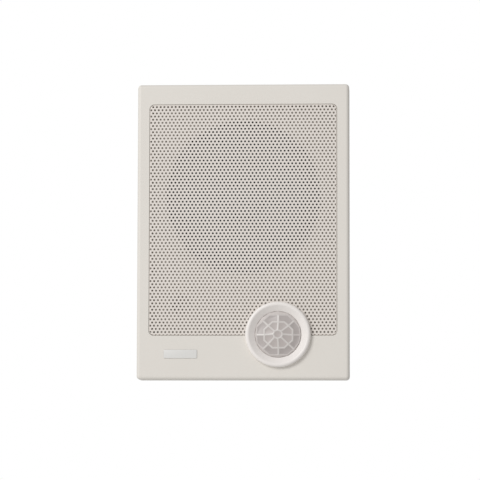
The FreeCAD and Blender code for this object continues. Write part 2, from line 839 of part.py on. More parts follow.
def spider():
    """Corrugated centring disc between the former and its seat on the basket."""
    body = driver_body("spider")
    steps = 7
    start, end = "(former_radius + spider_lip)", "(spider_seat_inner - spider_lip)"
    lower = [("former_radius", "-spider_seat_depth")]
    for step in range(steps + 1):
        wave = 0 if step in (0, steps) else (1 if step % 2 else -1)
        place = f"{start} + ({end} - {start})*{step}/{steps}"
        lower.append((place, f"-spider_seat_depth + {wave}*spider_wave"))
    lower.append(("spider_seat_radius - seat_clearance", "-spider_seat_depth"))
    upper = [(across, f"{up} + spider_thickness") for across, up in reversed(lower)]
    turned(body, lower + upper)
    return keep(body, "spider")


def driver():
    """Driver with its gasket, moving coil and magnet."""
    driver_gasket()
    driver_basket()
    surround()
    cone()
    dust_cap()
    spider()
    former_front = "(neck_depth - former_stub)"
    driver_ring("voice_coil_former", "former_inner", "former_radius", former_front,
                f"{former_front} + former_length")
    driver_ring("voice_coil_winding", "former_radius", "winding_radius", "coil_middle - winding_length/2",
                "coil_middle + winding_length/2")
    driver_ring("top_plate", "winding_radius + coil_gap", "top_plate_radius", "plate_front", "magnet_front")
    driver_ring("magnet", "magnet_bore", "magnet_radius", "magnet_front", "magnet_back")
    pole_yoke()
    strip_up = "driver_up - strip_radius"
    strip_back = "driver_face - basket_sheet - strip_thickness"
    block("tag_strip", "0", strip_up, strip_back, "strip_width", "strip_height", "strip_thickness")
    driver_tags(strip_up, strip_back)


def pole_yoke():
    """Back plate and pole in one turned piece."""
    body = driver_body("pole_yoke")
    pole = "(former_inner - pole_gap)"
    turned(body, [
        ("0", "-magnet_back - yoke_thickness"), ("yoke_radius - 1", "-magnet_back - yoke_thickness"),
        ("yoke_radius", "-magnet_back - yoke_thickness + 1"), ("yoke_radius", "-magnet_back"),
        (pole, "-magnet_back"), (pole, "-plate_front"), ("0", "-plate_front"),
    ])
    return keep(body, "pole_yoke")


def driver_tags(strip_up, strip_back):
    """Two solder tags on the driver's strip."""
    body = new_body("driver_tag")
    pad(body, rectangle(sketch(body), "tag_width", "tag_thickness"), "tag_length", backward=True)
    doc.recompute()
    spots = [(side * number("tag_spacing/2"), number(strip_up), number(strip_back)) for side in (-1, 1)]
    return copies("driver_tags", body, spots)


def sensor_body(name):
    """Starts a body on the sensor's axis, with its origin at the cover's front face."""
    return new_body(name, "sensor_across", "sensor_up", "case_depth")


def sensor_bezel():
    """Raised ring with a dished face and the barrel that holds the sensor."""
    body = sensor_body("sensor_bezel")
    turned(body, [
        ("barrel_radius", "-barrel_length"), ("barrel_radius", "0"), ("ring_diameter/2", "0"),
        ("ring_diameter/2 - ring_taper", "ring_shoulder"),
        ("ring_diameter/2 - ring_taper - ring_crest", "ring_height"),
        ("lens_diameter/2", "lip_top"), ("lens_diameter/2", "lens_seat"), ("barrel_inner", "lens_seat"),
        ("barrel_inner", "board_seat"), ("pocket_radius", "board_seat"), ("pocket_radius", "-barrel_length"),
    ], {3: ("ring_round", 0.3)})
    return keep(body, "sensor_bezel")


def fresnel_lens():
    """Domed lens divided into facets by ring and radial ribs."""
    body = sensor_body("lens_dome")
    turned(body, [
        ("0", "lens_centre + lens_inside"),
        ("sqrt(lens_inside^2 - (lens_back - lens_centre)^2)", "lens_back"),
        ("barrel_inner - sensor_clearance", "lens_back"), ("barrel_inner - sensor_clearance", "lens_seat"),
        ("lens_edge", "lens_seat"), ("0", "lens_centre + lens_sphere"),
    ], {0: ("lens_inside", -0.1), 4: ("lens_sphere", 0.1)})
    for radius in ("inner_rib_radius", "outer_rib_radius"):
        top = f"lens_centre + sqrt(lens_sphere^2 - ({radius})^2)"
        turned(body, [
            (f"{radius} - rib_width/2", f"{top} - lens_thickness*0.6"),
            (f"{radius} + rib_width/2", f"{top} - lens_thickness*0.6"),
            (f"{radius} + rib_width/2", f"{top} + rib_height/2"),
            (f"{radius} - rib_width/2", f"{top} + rib_height"),
        ])
    made = doc.addObject("Part::MultiFuse", "fresnel_lens")
    made.Shapes = [body, lens_spokes()]
    return keep(made, "fresnel_lens")


def lens_spokes():
    """Eight radial ribs that follow the dome."""
    sphere = number("lens_sphere")
    centre = V(0, 0, number("lens_centre"))
    width = number("rib_width")
    inner = number("inner_rib_radius")
    outer = number("lens_edge") - width
    shell = Part.makeSphere(sphere + number("rib_height"), centre)
    shell = shell.cut(Part.makeSphere(sphere - number("lens_thickness*0.6"), centre))
    spokes = []
    for step in range(8):
        bar = Part.makeBox(outer - inner, width, 2 * sphere, V(inner, -width / 2, number("lens_seat")))
        bar.rotate(V(), V(0, 0, 1), 45 * step)
        spokes.append(bar.common(shell))
    made = doc.addObject("Part::Feature", "lens_spokes")
    made.Shape = Part.makeCompound(spokes)
    settle(made, "sensor_across", "sensor_up", "case_depth")
    return made


def sensor_ring(label, inner, outer, low, high):
    """Makes a plain ring on the sensor's axis between two heights from the cover's face."""
    return ring(label, label, inner, outer, low, high, "sensor_across", "sensor_up", "case_depth")


def sensor():
    """Motion sensor with its lens, board and back cap."""
    sensor_bezel()
    fresnel_lens()
    fit = "(barrel_inner - sensor_clearance)"
    sensor_ring("lens_retainer", f"{fit} - retainer_width", fit, "lens_back - retainer_height", "lens_back")
    sensor_ring("sensor_board", "0", "pocket_radius - sensor_clearance", "board_back", "board_seat")
    pyro_detector()
    sensor_cap()
    sensor_nut()


def pyro_detector():
    """Detector can with a square window."""
    body = sensor_body("pyro_detector")
    turned(body, [
        ("0", "board_seat"), ("can_radius + can_flange", "board_seat"),
        ("can_radius + can_flange", "board_seat + can_flange"), ("can_radius", "board_seat + can_flange"),
        ("can_radius", "board_seat + can_height"), ("0", "board_seat + can_height"),
    ])
    window = rectangle(sketch(body, out="board_seat + can_height"), "can_window", "can_window")
    pocket(body, window, "can_flange/2")
    return keep(body, "pyro_detector")


def sensor_cap():
    """Cup that closes the barrel behind the board, with a hole for the lead."""
    body = sensor_body("sensor_cap")
    outer = "(pocket_radius - sensor_clearance)"
    hole = "(sensor_lead_diameter/2 + sensor_clearance)"
    turned(body, [
        (hole, "-barrel_length"), (outer, "-barrel_length"), (outer, "board_back"),
        (f"{outer} - sensor_cap_wall", "board_back"),
        (f"{outer} - sensor_cap_wall", "sensor_cap_wall - barrel_length"),
        (hole, "sensor_cap_wall - barrel_length"),
    ])
    return keep(body, "sensor_cap")


def sensor_nut():
    """Notched ring nut that clamps the barrel behind the panel."""
    body = sensor_body("sensor_nut")
    inner = "(barrel_radius + sensor_clearance)"
    outer = f"({inner} + nut_width)"
    seat = "(floor_back - case_depth)"
    back = f"{seat} - nut_height"
    turned(body, [(inner, back), (outer, back), (outer, seat), (inner, seat)])
    notch = circle(sketch(body, out=back), "nut_notch", f"{outer} + nut_notch*0.1", "0")
    around(body, pocket(body, notch, "nut_height", forward=True), notch, "nut_notches")
    return keep(body, "sensor_nut")


def main_board():
    """Circuit board on the housing's posts, with its larger components."""
    body = new_body("main_board", "board_across", "board_up", "board_low")
    pad(body, rectangle(sketch(body), "board_width", "board_height"), "board_thickness")
    holes = sketch(body)
    for a in (-1, 1):
        for b in (-1, 1):
            circle(holes, "board_screw + hole_clearance", f"{a}*hole_across", f"{b}*hole_up")
    pocket(body, holes, "board_thickness", forward=True)
    keep(body, "main_board")
    block("speaker_socket", "0", "socket_up", "board_front", "socket_width", "socket_depth", "socket_height")
    block("sensor_socket", "sensor_socket_across", "sensor_up", "board_front", "sensor_socket_width",
          "socket_depth", "socket_height")
    heat_sink()
    capacitors()
    input_terminals()


def heat_sink():
    """Finned sink on the board's upper left, and the amplifier chip that cools against it."""
    across = "(board_across - board_width/2 + board_corner_inset*2 + sink_width/2)"
    up = "(board_up + board_height/2 - sink_edge - sink_fin_length - sink_base)"
    body = new_body("heat_sink", across, up, "board_front")
    pad(body, rectangle(sketch(body), "sink_width", "sink_base", up="sink_base/2"), "sink_height")
    fins = sketch(body)
    for step in range(6):
        place = f"(sink_width - sink_fin)*({step}/5 - 0.5)"
        rectangle(fins, "sink_fin", "sink_fin_length", place, "sink_base + sink_fin_length/2")
    pad(body, fins, "sink_height")
    keep(body, "heat_sink")
    block("amplifier_chip", across, f"{up} - chip_depth/2", "board_front", "chip_width", "chip_depth",
          "chip_height")


def capacitors():
    """Three upright capacitors in a row."""
    body = new_body("capacitor")
    turned(body, [
        ("0", "0"), ("capacitor_diameter/2", "0"),
        ("capacitor_diameter/2", "capacitor_height - capacitor_edge"),
        ("capacitor_diameter/2 - capacitor_edge", "capacitor_height"), ("0", "capacitor_height"),
    ])
    doc.recompute()
    first = number("board_across - board_width/2 + capacitor_left")
    up = number("board_up - board_height/2 + capacitor_rise")
    spots = [(first + step * number("capacitor_pitch"), up, number("board_front")) for step in range(3)]
    return copies("capacitors", body, spots)


def input_terminals():
    """Screw terminal block for the supply, with wire holes and screw wells."""
    across = "board_across + board_width/2 - terminal_width/2 - board_corner_inset*2"
    body = new_body("input_terminals", across, "board_up - board_height/2 + terminal_edge", "board_front")
    pad(body, rectangle(sketch(body), "terminal_width", "terminal_depth"), "terminal_height")
    wells = sketch(body, out="terminal_height")
    for step in (-1, 0, 1):
        circle(wells, "terminal_hole", f"{step}*terminal_width/3.2", "0")
    pocket(body, wells, "terminal_height/3")
    return keep(body, "input_terminals")


def rounded_path(points, bend):
    """Joins points by straight runs and arcs that are tangent to them."""
    edges = []
    last = points[0]
    for before, corner, after in zip(points, points[1:], points[2:]):
        room = min(bend, (corner - before).Length / 2.1, (after - corner).Length / 2.1)
        back = (before - corner).normalize()
        ahead = (after - corner).normalize()
        start, end = corner + back * room, corner + ahead * room
        middle = corner + (back + ahead) * room * (1 - math.sqrt(0.5))
        edges += [Part.LineSegment(last, start).toShape(), Part.Arc(start, middle, end).toShape()]
        last = end
    edges.append(Part.LineSegment(last, points[-1]).toShape())
    return Part.Wire(edges)


def lead(start, end, crossing, diameter):
    """Makes one lead that runs back from its start, crosses over at a height and runs on back to its end."""
    points = [start, V(start.x, start.y, crossing), V(end.x, end.y, crossing), end]
    path = rounded_path(points, number("lead_bend"))
    section = Part.Wire(Part.makeCircle(diameter / 2, start, V(0, 0, 1)))
    return path.makePipeShell([section], True, False)


def leads(label, solids):
    """Groups leads drawn in front view."""
    made = doc.addObject("Part::Feature", label)
    made.Shape = Part.makeCompound(solids)
    made.Placement = FreeCAD.Placement(V(), FRONT_VIEW)
    return keep(made, label)


def wiring():
    """Leads from the main board to the driver's tags and to the sensor."""
    tag_back = number("driver_face - basket_sheet - strip_thickness - tag_length")
    top = number("socket_top")
    crossing = (tag_back + top) / 2
    pair = []
    for side in (-1, 1):
        across = side * number("tag_spacing/2")
        start = V(across, number("driver_up - strip_radius"), tag_back)
        end = V(across, number("socket_up"), top)
        pair.append(lead(start, end, crossing, number("lead_diameter")))
    leads("speaker_leads", pair)
    up = number("sensor_up")
    start = V(number("sensor_across"), up, number("case_depth + board_back"))
    end = V(number("sensor_socket_across"), up, top)
    crossing = (number("case_depth - barrel_length") + top) / 2
    leads("sensor_lead", [lead(start, end, crossing, number("sensor_lead_diameter"))])


def fasteners():
    """Screws of the driver, the housing and the main board, each kind in one group."""
    body = screw("driver_screw_one", "driver_screw", "driver_screw_head", "driver_screw_length")
    out = number("driver_face - basket_sheet - screw_head_height")
    radius = number("screw_circle") / math.sqrt(2)
    up = number("driver_up")
    copies("driver_screws", body, [(a * radius, up + b * radius, out) for a in (-1, 1) for b in (-1, 1)])
    body = screw("housing_screw_one", "housing_screw", "housing_screw_head", "housing_screw_length")
    out = number("well_end - screw_head_height")
    copies("housing_screws", body, [(x, y, out) for x, y in four_corners("post_across", "post_up")])
    body = screw("board_screw_one", "board_screw", "board_screw_head", "board_screw_length")
    across, up, out = number("board_across"), number("board_up"), number("board_front + screw_head_height")
    spots = [(across + x, up + y, out) for x, y in four_corners("hole_across", "hole_up")]
    copies("board_screws", body, spots, turned_over=True)


def check_document():
    """Stops the build if a feature failed or a shape is not sound."""
    for item in doc.Objects:
        if "Invalid" in item.State or "Error" in item.State:
            raise RuntimeError(f"{item.Name} failed: {item.State}")
    for piece in pieces:
        if piece.Shape.isNull() or not piece.Shape.isValid():
            raise RuntimeError(f"{piece.Label} has no sound shape")


front_cover()
name_plate()
grille()
rear_housing()
cable_grommet()
driver()
sensor()
main_board()
wiring()
fasteners()
doc.recompute()
check_document()
os.makedirs("parts", exist_ok=True)
for piece in pieces:
    piece.Shape.exportStep(f"parts/{piece.Label}.step")
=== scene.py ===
"""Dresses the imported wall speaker.

Models the fine perforated grille, the faceted lens of the sensor, the bare plate and the soft rings of the
driver, and adds finishes, lights and a camera.
"""

from __future__ import annotations

import json
import logging
import math
from abc import ABC, abstractmethod
from collections.abc import Callable, Iterator
from contextlib import contextmanager
from dataclasses import dataclass, field
from enum import Enum, IntEnum
from typing import Any, Union

import bmesh
import bpy
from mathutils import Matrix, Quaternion, Vector

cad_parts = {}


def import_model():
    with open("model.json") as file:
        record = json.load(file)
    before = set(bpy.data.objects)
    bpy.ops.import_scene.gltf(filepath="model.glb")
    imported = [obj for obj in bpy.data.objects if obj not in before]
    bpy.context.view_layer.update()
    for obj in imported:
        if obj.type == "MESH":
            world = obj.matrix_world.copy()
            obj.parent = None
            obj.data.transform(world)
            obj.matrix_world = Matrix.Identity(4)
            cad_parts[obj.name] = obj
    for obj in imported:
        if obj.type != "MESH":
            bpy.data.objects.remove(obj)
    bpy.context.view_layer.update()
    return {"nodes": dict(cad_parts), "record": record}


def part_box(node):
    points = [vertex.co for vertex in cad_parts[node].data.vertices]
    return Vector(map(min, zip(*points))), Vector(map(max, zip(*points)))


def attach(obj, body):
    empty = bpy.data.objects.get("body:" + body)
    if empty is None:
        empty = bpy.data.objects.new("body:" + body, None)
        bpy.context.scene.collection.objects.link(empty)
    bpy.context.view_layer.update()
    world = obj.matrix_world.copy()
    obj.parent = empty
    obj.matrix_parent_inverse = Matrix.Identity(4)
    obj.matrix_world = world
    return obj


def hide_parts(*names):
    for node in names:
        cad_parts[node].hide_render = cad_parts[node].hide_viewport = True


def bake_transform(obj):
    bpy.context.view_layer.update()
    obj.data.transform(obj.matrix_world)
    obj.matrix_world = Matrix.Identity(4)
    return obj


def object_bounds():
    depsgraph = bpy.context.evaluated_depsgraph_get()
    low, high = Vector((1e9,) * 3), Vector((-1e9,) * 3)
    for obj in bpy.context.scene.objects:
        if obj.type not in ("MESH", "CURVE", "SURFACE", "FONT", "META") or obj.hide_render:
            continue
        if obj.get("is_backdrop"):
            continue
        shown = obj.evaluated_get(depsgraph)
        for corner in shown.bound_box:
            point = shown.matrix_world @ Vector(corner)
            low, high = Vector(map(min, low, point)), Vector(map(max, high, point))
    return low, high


MM: float = 0.001
TOUCH: float = 0.01 * MM  # points nearer than this are at one place
PHOTO_PIXELS: int = 480
CABINET: str = "cabinet"
log = logging.getLogger("wall_speaker")

Triple = tuple[float, float, float]
Colour = Triple
Number = Union["Value", float]


class Domain(Enum):
    """Kind of mesh element that is picked in edit mode."""

    VERTEX = "VERT"
    EDGE = "EDGE"
    FACE = "FACE"


class Pattern(Enum):
    """Relief that a finish shows from close by."""

    GRAIN = "fine spark-eroded grain of a mould"
    PEEL = "soft orange peel of a powder coat"
    CELLS = "closed cells of a foam"
    PULP = "felted fibres of pressed paper"
    WEAVE = "plain weave of doped cloth"
    TURNS = "wound turns of a wire"
    BRUSHED = "drawn lines of rolled metal"
    TRACES = "copper tracks under a lacquer"


class LensZone(IntEnum):
    """Part of the lens that has a film of its own, by its place in the lens's materials."""

    RIB = 0
    FACET = 1
    SKIRT = 2


class Bench:
    """Edit-mode tools for the piece that is being shaped."""

    @staticmethod
    def clear() -> None:
        """Leaves edit mode and deselects every object."""
        if bpy.context.object and bpy.context.object.mode != "OBJECT":
            bpy.ops.object.mode_set(mode="OBJECT")
        bpy.ops.object.select_all(action="DESELECT")

    @staticmethod
    def take(name: str) -> bpy.types.Object:
        """Names the primitive that was just added.

        Args:
            name: The piece's name.

        Returns:
            The piece.
        """
        piece = bpy.context.object
        piece.name = name
        piece.data.name = name
        return piece

    @staticmethod
    @contextmanager
    def editing(piece: bpy.types.Object, domain: Domain) -> Iterator[None]:
        """Opens a piece in edit mode with all of it selected.

        Args:
            piece: The mesh object to shape.
            domain: The kind of element that is selected.
        """
        bpy.context.view_layer.objects.active = piece
        bpy.ops.object.mode_set(mode="EDIT")
        bpy.ops.mesh.select_mode(type=domain.value)
        bpy.ops.mesh.select_all(action="SELECT")
        yield
        bpy.ops.object.mode_set(mode="OBJECT")

    @staticmethod
    def pick(domain: Domain, wanted: Callable[[Any], bool]) -> None:
        """Selects the elements that a test picks out, and nothing else.

        Args:
            domain: The kind of element that is tested.
            wanted: Says whether an element is picked.
        """
        mesh = bpy.context.object.data
        bpy.ops.mesh.select_mode(type=domain.value)
        shape = bmesh.from_edit_mesh(mesh)
        elements = {Domain.VERTEX: shape.verts, Domain.EDGE: shape.edges, Domain.FACE: shape.faces}
        picked = [element for element in elements[domain] if wanted(element)]
        bpy.ops.mesh.select_all(action="DESELECT")
        for element in picked:
            element.select_set(True)
        shape.select_flush_mode()
        bmesh.update_edit_mesh(mesh)

    @staticmethod
    def modify(piece: bpy.types.Object, kind: str, settings: dict[str, Any]) -> None:
        """Adds a modifier with its settings and applies it.

        Args:
            piece: The mesh object to modify.
            kind: The modifier's type.
            settings: The modifier's properties by name.
        """
        modifier = piece.modifiers.new(kind.lower(), kind)
        for key, value in settings.items():
            setattr(modifier, key, value)
        bpy.context.view_layer.objects.active = piece
        bpy.ops.object.modifier_apply(modifier=modifier.name)

    @staticmethod
    def smooth(piece: bpy.types.Object, degrees: float) -> None:
        """Shades a piece smooth wherever its faces meet at less than an angle.

        Args:
            piece: The mesh object to shade.
            degrees: The angle.
        """
        Bench.clear()
        piece.select_set(True)
        bpy.context.view_layer.objects.active = piece
        bpy.ops.object.shade_smooth_by_angle(angle=math.radians(degrees))

    @staticmethod
    def face_front(piece: bpy.types.Object) -> None:
        """Turns the faces of a sheet that is open in edit mode, with all of it selected, to the front.

        Args:
            piece: The sheet, still without thickness.
        """
        bpy.ops.mesh.normals_make_consistent(inside=False)
        faces = bmesh.from_edit_mesh(piece.data).faces
        if sum(face.normal.y * face.calc_area() for face in faces) > 0:
            bpy.ops.mesh.flip_normals()


class Value:
    """A number at a socket, whose arithmetic lays down Math nodes."""

    def __init__(self, recipe: Recipe, socket: bpy.types.NodeSocket) -> None:
        """Wraps a socket of a recipe."""
        self.recipe = recipe
        self.socket = socket

    def of(self, operation: str, *operands: Number) -> Value:
        """Lays down a Math node.

        Args:
            operation: The node's operation.
            operands: Its inputs, in order.

        Returns:
            The node's result.
        """
        made = self.recipe.node("ShaderNodeMath", {"operation": operation}, dict(enumerate(operands)))
        return Value(self.recipe, made.outputs[0])

    def __add__(self, other: Number) -> Value:
        """Sum."""
        return self.of("ADD", self, other)

    def __radd__(self, other: Number) -> Value:
        """Sum, reflected."""
        return self.of("ADD", other, self)

    def __sub__(self, other: Number) -> Value:
        """Difference."""
        return self.of("SUBTRACT", self, other)

    def __rsub__(self, other: Number) -> Value:
        """Difference, reflected."""
        return self.of("SUBTRACT", other, self)

    def __mul__(self, other: Number) -> Value:
        """Product."""
        return self.of("MULTIPLY", self, other)

    def __rmul__(self, other: Number) -> Value:
        """Product, reflected."""
        return self.of("MULTIPLY", other, self)

    def __gt__(self, other: Number) -> Value:
        """One where the value is above another, and nought elsewhere."""
        return self.of("GREATER_THAN", self, other)

    def wave(self) -> Value:
        """Sine of the value, brought between nought and one."""
        return self.of("SINE", self) * 0.5 + 0.5

    def root(self) -> Value:
        """Square root."""
        return self.of("SQRT", self)

    def ramp(self, start: float, end: float) -> Value:
        """Share of the way from one limit to another, held between nought and one."""
        held = self.of("MAXIMUM", (self - start) * (1.0 / (end - start)), 0.0)
        return self.of("MINIMUM", held, 1.0)


class Recipe:
    """Node tree of a material or a world, with the shares and stretches of its reliefs."""

    FIBRE_STRETCH: float = 0.25
    FIBRE_DETAIL: float = 4.0
    DRAWN_STRETCH: float = 0.06
    DRAWN_DETAIL: float = 3.0
    TRACK_STRETCH: float = 0.3
    TRACK_DETAIL: float = 1.0
    TRACK_BEND: float = 9.0
    TRACK_CUT: float = 0.42
    PEEL_DETAIL: float = 1.5
    GRAIN_DETAIL: float = 3.0
    GRAIN_SHARE: float = 0.7

    def __init__(self, holder: bpy.types.Material | bpy.types.World) -> None:
        """Empties the node tree of what it belongs to.

        Args:
            holder: The material or world.
        """
        self.holder = holder
        holder.use_nodes = True
        self.tree = holder.node_tree
        self.tree.nodes.clear()

    def node(self, kind: str, settings: dict[str, Any], sockets: dict[Any, Any]) -> bpy.types.Node:
        """Lays down one node.

        Args:
            kind: The node's type.
            settings: Its properties by name, set first.
            sockets: Values or links of its inputs, by name or index.

        Returns:
            The new node.
        """
        made = self.tree.nodes.new(kind)
        for key, setting in settings.items():
            setattr(made, key, setting)
        for key, given in sockets.items():
            socket = made.inputs[key]
            if isinstance(given, Value):
                self.tree.links.new(given.socket, socket)
            elif isinstance(given, bpy.types.NodeSocket):
                self.tree.links.new(given, socket)
            else:
                socket.default_value = given
        return made

    def place(self, stretch: Triple, shift: Triple = (0.0, 0.0, 0.0)) -> bpy.types.NodeSocket:
        """Object coordinates, moved and scaled along each axis.

        Args:
            stretch: Repeats per metre along X, Y and Z.
            shift: Metres by which the pattern's origin is moved.

        Returns:
            The vector's socket.
        """
        spot = self.node("ShaderNodeTexCoord", {}, {}).outputs["Object"]
        moved = self.node("ShaderNodeVectorMath", {"operation": "SUBTRACT"}, {0: spot, 1: shift}).outputs[0]
        return self.node("ShaderNodeVectorMath", {"operation": "MULTIPLY"}, {0: moved, 1: stretch}).outputs[0]

    def axes(self, vector: bpy.types.NodeSocket) -> tuple[Value, Value, Value]:
        """Splits a vector into its X, Y and Z."""
        split = self.node("ShaderNodeSeparateXYZ", {}, {0: vector})
        return tuple(Value(self, output) for output in split.outputs)

    def noise(self, stretch: Triple, detail: float) -> Value:
        """Soft noise between nought and one.

        Args:
            stretch: Repeats per metre along X, Y and Z.
            detail: Octaves of finer noise.

        Returns:
            The noise.
        """
        sockets = {"Vector": self.place(stretch), "Scale": 1.0, "Detail": detail}
        return Value(self, self.node("ShaderNodeTexNoise", {}, sockets).outputs[0])

    def cells(self, stretch: Triple) -> Value:
        """Distance to the nearest of scattered points."""
        sockets = {"Vector": self.place(stretch), "Scale": 1.0}
        return Value(self, self.node("ShaderNodeTexVoronoi", {}, sockets).outputs["Distance"])

    def blend(self, low: Colour, high: Colour, share: Value) -> bpy.types.NodeSocket:
        """Colour between two, by a share that runs from nought to one."""
        sockets = {0: share, 6: (*low, 1.0), 7: (*high, 1.0)}
        return self.node("ShaderNodeMix", {"data_type": "RGBA"}, sockets).outputs[2]

    def bump(self, height: Value, depth: float) -> bpy.types.NodeSocket:
        """Normal of a surface with a relief whose full depth is given in millimetres."""
        sockets = {"Strength": 1.0, "Distance": depth * MM, "Height": height}
        return self.node("ShaderNodeBump", {}, sockets).outputs[0]

    def relief(self, pattern: Pattern, grain: float) -> Value:
        """Height of a pattern, between about nought and one.

        Args:
            pattern: The kind of relief.
            grain: Its pitch in metres.

        Returns:
            The height.
        """
        fine = 1.0 / grain
        even = (fine, fine, fine)
        turn = 2.0 * math.pi * fine
        if pattern is Pattern.CELLS:
            return self.cells(even)
        if pattern is Pattern.PULP:
            long = fine * self.FIBRE_STRETCH
            upright = self.noise((fine, fine, long), self.FIBRE_DETAIL)
            level = self.noise((long, fine, fine), self.FIBRE_DETAIL)
            return upright * 0.5 + level * 0.5
        if pattern is Pattern.WEAVE:
            x, _, z = self.axes(self.place((turn, turn, turn)))
            return x.wave() * 0.5 + z.wave() * 0.5
        if pattern is Pattern.TURNS:
            _, y, _ = self.axes(self.place((turn, turn, turn)))
            return y.wave()
        if pattern is Pattern.BRUSHED:
            return self.noise((fine, fine, fine * self.DRAWN_STRETCH), self.DRAWN_DETAIL)
        if pattern is Pattern.TRACES:
            x, _, z = self.axes(self.place((turn, turn, turn)))
            slow = fine * self.TRACK_STRETCH
            bend = self.noise((slow, slow, slow), self.TRACK_DETAIL) * self.TRACK_BEND
            return (x + bend).wave() * (z * 0.5 + bend).wave() > self.TRACK_CUT
        if pattern is Pattern.PEEL:
            return self.noise(even, self.PEEL_DETAIL)
        pits = self.cells(even) * (1.0 - self.GRAIN_SHARE)
        return self.noise(even, self.GRAIN_DETAIL) * self.GRAIN_SHARE + pits

    def surface(self, sockets: dict[str, Any]) -> bpy.types.Material:
        """Closes the tree with a surface shader.

        Args:
            sockets: Values or links of the shader's inputs.

        Returns:
            The finished material.
        """
        shader = self.node("ShaderNodeBsdfPrincipled", {}, sockets)
        self.node("ShaderNodeOutputMaterial", {}, {"Surface": shader.outputs[0]})
        return self.holder


@dataclass(frozen=True)
class Finish:
    """How one kind of surface looks; lengths in millimetres, colours linear."""

    name: str
    pattern: Pattern
    colour: Colour
    tint: Colour
    grain: float
    depth: float
    roughness: float
    swing: float = 0.08
    cloud: float = 24.0
    cloud_detail: float = 3.0
    share: float = 0.35
    metallic: float = 0.0

    def material(self) -> bpy.types.Material:
        """Lays down the finish as a material.

        Returns:
            A material whose colour, roughness and relief vary over the surface.
        """
        recipe = Recipe(bpy.data.materials.new(self.name))
        height = recipe.relief(self.pattern, self.grain * MM)
        slow = 1.0 / (self.cloud * MM)
        cloud = recipe.noise((slow, slow, slow), self.cloud_detail)
        mask = height * self.share + cloud * (1.0 - self.share)
        return recipe.surface({
            "Base Color": recipe.blend(self.colour, self.tint, mask),
            "Roughness": (cloud - 0.5) * self.swing + self.roughness,
            "Metallic": self.metallic,
            "Normal": recipe.bump(height, self.depth),
        })


@dataclass(frozen=True)
class LensFilm:
    """Milky grooved film, painted darker toward its rim as painted shade; lengths in millimetres."""

    middle: Vector
    name: str = "milky_lens_facet_painted_shade"
    # Inner tone and darker outer tone; the outer tone toward the rim is painted shade on the outer facets.
    inner: Colour = (0.51, 0.46, 0.44)
    outer: Colour = (0.46, 0.42, 0.405)
    turn_radius: float = 13.2
    turn_width: float = 0.8
    groove: float = 0.55
    depth: float = 0.012
    roughness: float = 0.42
    swing: float = 0.1
    cloud: float = 6.25
    cloud_detail: float = 2.0
    cloud_share: float = 0.2
    rim_shade_share: float = 0.85
    rim_shade_shift: float = 0.05

    def material(self) -> bpy.types.Material:
        """Lays down the film as a material.

        Returns:
            A material with rings of grooves about the lens's middle and a darker outer zone of painted shade.
        """
        recipe = Recipe(bpy.data.materials.new(self.name))
        per_mm = 1.0 / MM
        x, _, z = recipe.axes(recipe.place((per_mm, per_mm, per_mm), tuple(self.middle)))
        radius = (x * x + z * z).root()
        grooves = (radius * (2.0 * math.pi / self.groove)).wave()
        slow = 1.0 / (self.cloud * MM)
        cloud = recipe.noise((slow, slow, slow), self.cloud_detail)
        # Painted shade: the colour runs from the inner tone to the darker outer tone past the turn radius.
        zone = radius.ramp(self.turn_radius - self.turn_width, self.turn_radius + self.turn_width)
        share = zone * self.rim_shade_share + cloud * self.cloud_share - self.rim_shade_shift
        return recipe.surface({
            "Base Color": recipe.blend(self.inner, self.outer, share),
            "Roughness": (cloud - 0.5) * self.swing + self.roughness,
            "Normal": recipe.bump(grooves, self.depth),
        })


CASE_WHITE: Colour = (0.79, 0.752, 0.70)
CASE_SHADE: Colour = (0.75, 0.712, 0.66)

# Lighter copy of the case plastic for the sensor ring: painted light that brightens the ring and its dish.
RING_PLASTIC_PAINTED_LIGHT = Finish(
    "ring_plastic_painted_light", Pattern.GRAIN, (0.89, 0.845, 0.815), (0.86, 0.815, 0.785),
    grain=0.4, depth=0.003, roughness=0.38, cloud=40.0, share=0.15,
)

LENS_SKIRT = Finish(
    "milky_lens_skirt", Pattern.GRAIN, (0.63, 0.585, 0.565), (0.58, 0.54, 0.52),
    grain=0.3, depth=0.002, roughness=0.4,
)

PALE_FLOOR = Finish(
    "pale_floor", Pattern.PEEL, (0.82, 0.82, 0.81), (0.79, 0.79, 0.78),
    grain=3.0, depth=0.0, roughness=0.7, cloud=400.0,
)

